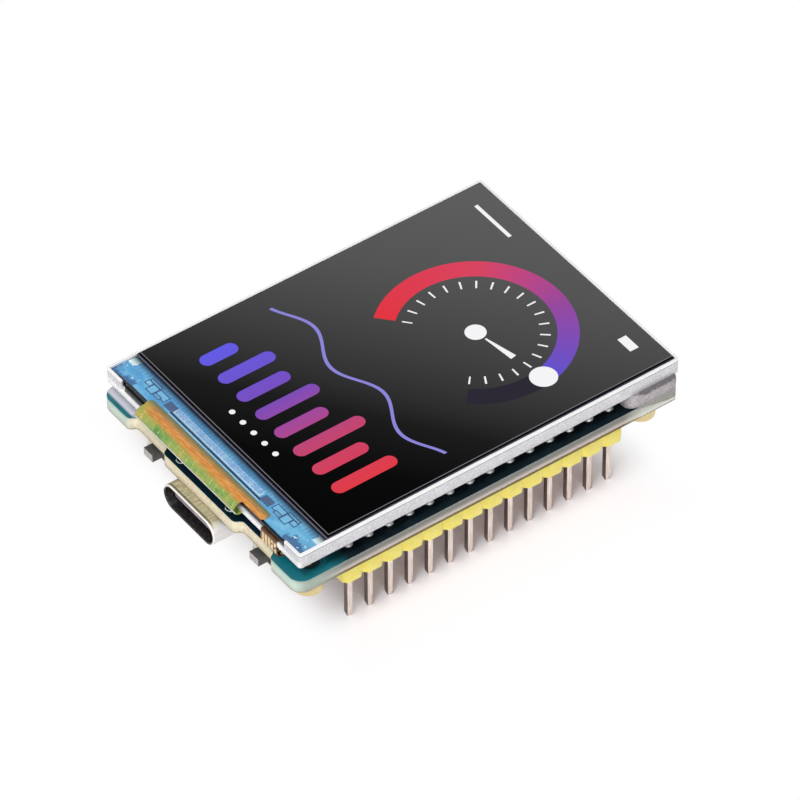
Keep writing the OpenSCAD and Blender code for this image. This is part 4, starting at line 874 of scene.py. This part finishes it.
bm = bmesh.new()
tip = strip(bm, (10.4, 13.1), -22.88, 12.51)
tip = pull(bm, tip, (0, -0.15, 0))
tip = fold(bm, tip, (-23.03, 12.355), pi / 2, 8)
tip = pull(bm, tip, (0, 0, -1.405))
tip = fold(bm, tip, (-22.395, 10.95), pi / 2, 14)
pull(bm, tip, (0, 1.6, 0))
set_right(bm)
bmesh.ops.solidify(bm, geom=bm.faces, thickness=0.1 * MM)
put("backlight_curl", bm, "tail_flex", stands_for=("backlight_tail",))

# Foam tapes: die-cut pads, pressed so that their sides swell a little

swell = 0.06
for node, near_round, far_round in (("far_foam_tape", 1.2, 0.2), ("middle_foam_tape", 0.4, 0.4)):
    low, high = (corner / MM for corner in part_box(node))
    bm = bmesh.new()
    slab(bm, (low.x + swell, low.y + swell, low.z), (high.x - swell, high.y - swell, high.z))
    bevel(bm, [e for e in edges_along(bm, 2) if e.verts[0].co.y * 2 < (low.y + high.y) * MM], near_round, 8)
    bevel(bm, [e for e in edges_along(bm, 2) if e.verts[0].co.y > (high.y - swell - 0.01) * MM], far_round, 4)
    bmesh.ops.subdivide_edges(bm, edges=edges_along(bm, 2), cuts=6, use_grid_fill=True)
    bm.normal_update()
    for vert in bm.verts:
        rise = (vert.co.z / MM * 2 - low.z - high.z) / (high.z - low.z)
        outward = Vector((vert.normal.x, vert.normal.y, 0))
        if abs(rise) < 0.999 and outward.length > 0.1:
            vert.co += outward.normalized() * swell * (1 - rise * rise) * MM
    put(node + "_pad", bm, "grey_foam", stands_for=(node,), angle=50)

# Solder pads along the microcontroller's four sides and the flash memory's two

bm = bmesh.new()
pad_low = 8.36
for side in range(4):
    for i in range(14):
        along = (i - 6.5) * 0.4
        pad = slab(bm, (along - 0.11, 3.3, pad_low), (along + 0.11, 3.78, BOARD_BOTTOM))
        bevel(bm, level_edges(pad, pad_low), 0.05, 1)
    fresh = [v for v in bm.verts if not v.tag]
    bmesh.ops.rotate(bm, cent=(0, 0, 0), matrix=Matrix.Rotation(side * pi / 2, 4, "Z"), verts=fresh)
    for vert in fresh:
        vert.tag = True
bmesh.ops.translate(bm, vec=(CONTROLLER_X * MM, CHIP_ROW_Y * MM, 0), verts=bm.verts)
for across in (FLASH_X - 3.1, FLASH_X + 3.1):
    for i in range(4):
        along = CHIP_ROW_Y + (i - 1.5) * 1.27
        slab(bm, (across - 0.3, along - 0.2, 8.3), (across + 0.3, along + 0.2, BOARD_BOTTOM))
put("chip_solder_pads", bm, "tinned_metal")


# Camera at the photograph's angle

azimuth, height, roll, distance = radians(53.966), radians(43.986), radians(-0.36), 0.7258
back = Vector((sin(azimuth) * cos(height), -cos(azimuth) * cos(height), sin(height)))
right = Vector((cos(azimuth), sin(azimuth), 0))
up = back.cross(right)
across = right * cos(roll) + up * sin(roll)
upward = up * cos(roll) - right * sin(roll)
target = Vector((0.001804, 0.000489, 0.010))
eye = target + back * distance
lens = bpy.data.cameras.new("studio_camera")
lens.lens = 317.5
lens.sensor_width = 36
lens.clip_start = 0.01
camera = bpy.data.objects.new("studio_camera", lens)
camera.matrix_world = Matrix(((across.x, upward.x, back.x, eye.x), (across.y, upward.y, back.y, eye.y),
                              (across.z, upward.z, back.z, eye.z), (0, 0, 0, 1)))
scene.collection.objects.link(camera)
scene.camera = camera

# Plain white paper floor that keeps the shadow under and beside the board, with a faint rose light in it, and
# is white further out

bm = bmesh.new()
bmesh.ops.create_grid(bm, x_segments=2, y_segments=2, size=3.0)
mesh = bpy.data.meshes.new("studio_floor")
bm.to_mesh(mesh)
bm.free()
floor = bpy.data.objects.new("studio_floor", mesh)
scene.collection.objects.link(floor)
material, add, place = start_finish("white_paper")
paper = add("BsdfDiffuse", Color="#ffffff")
x, y, _ = add("SeparateXYZ", place).outputs
shaded = add("AddShader", paper, add("Emission", "#ffbcd8", 0.09))
outside = box_reach(add, x, y, (0.0, 1.0), (16.5, 14.3))
fade = add("MapRange", outside, -1.0, 9.0, interpolation_type="SMOOTHSTEP")
lifted = add("MixShader", fade, shaded, add("Emission", "#ffffff", 1.0))
add("OutputMaterial", add("MixShader", direct_rays(add), paper, lifted))
mesh.materials.append(material)

# Soft studio light: a dim warm room that metal and glass see as white, a lamp overhead and a low one in front

world = bpy.data.worlds.new("white_room")
scene.world = world
world.use_nodes = True
world.node_tree.nodes.clear()
add = partial(add_node, world.node_tree)
dim, white = add("Background", "#ffeee8", 0.22), add("Background", "#ffffff", 1.0)
add("OutputWorld", add("MixShader", direct_rays(add), dim, white))
for name, place, size, power in (("top_lamp", (0.28, -0.62, 1.28), 0.6, 15.0),
                                 ("front_lamp", (1.15, -0.45, 0.42), 0.6, 4.7)):
    light = bpy.data.lights.new(name, "AREA")
    light.size = size
    light.energy = power
    light.color = srgb("#f8fcff")[:3]
    lamp = bpy.data.objects.new(name, light)
    aim = (target - Vector(place)).to_track_quat("-Z", "Y")
    lamp.matrix_world = Matrix.Translation(place) @ aim.to_matrix().to_4x4()
    scene.collection.objects.link(lamp)
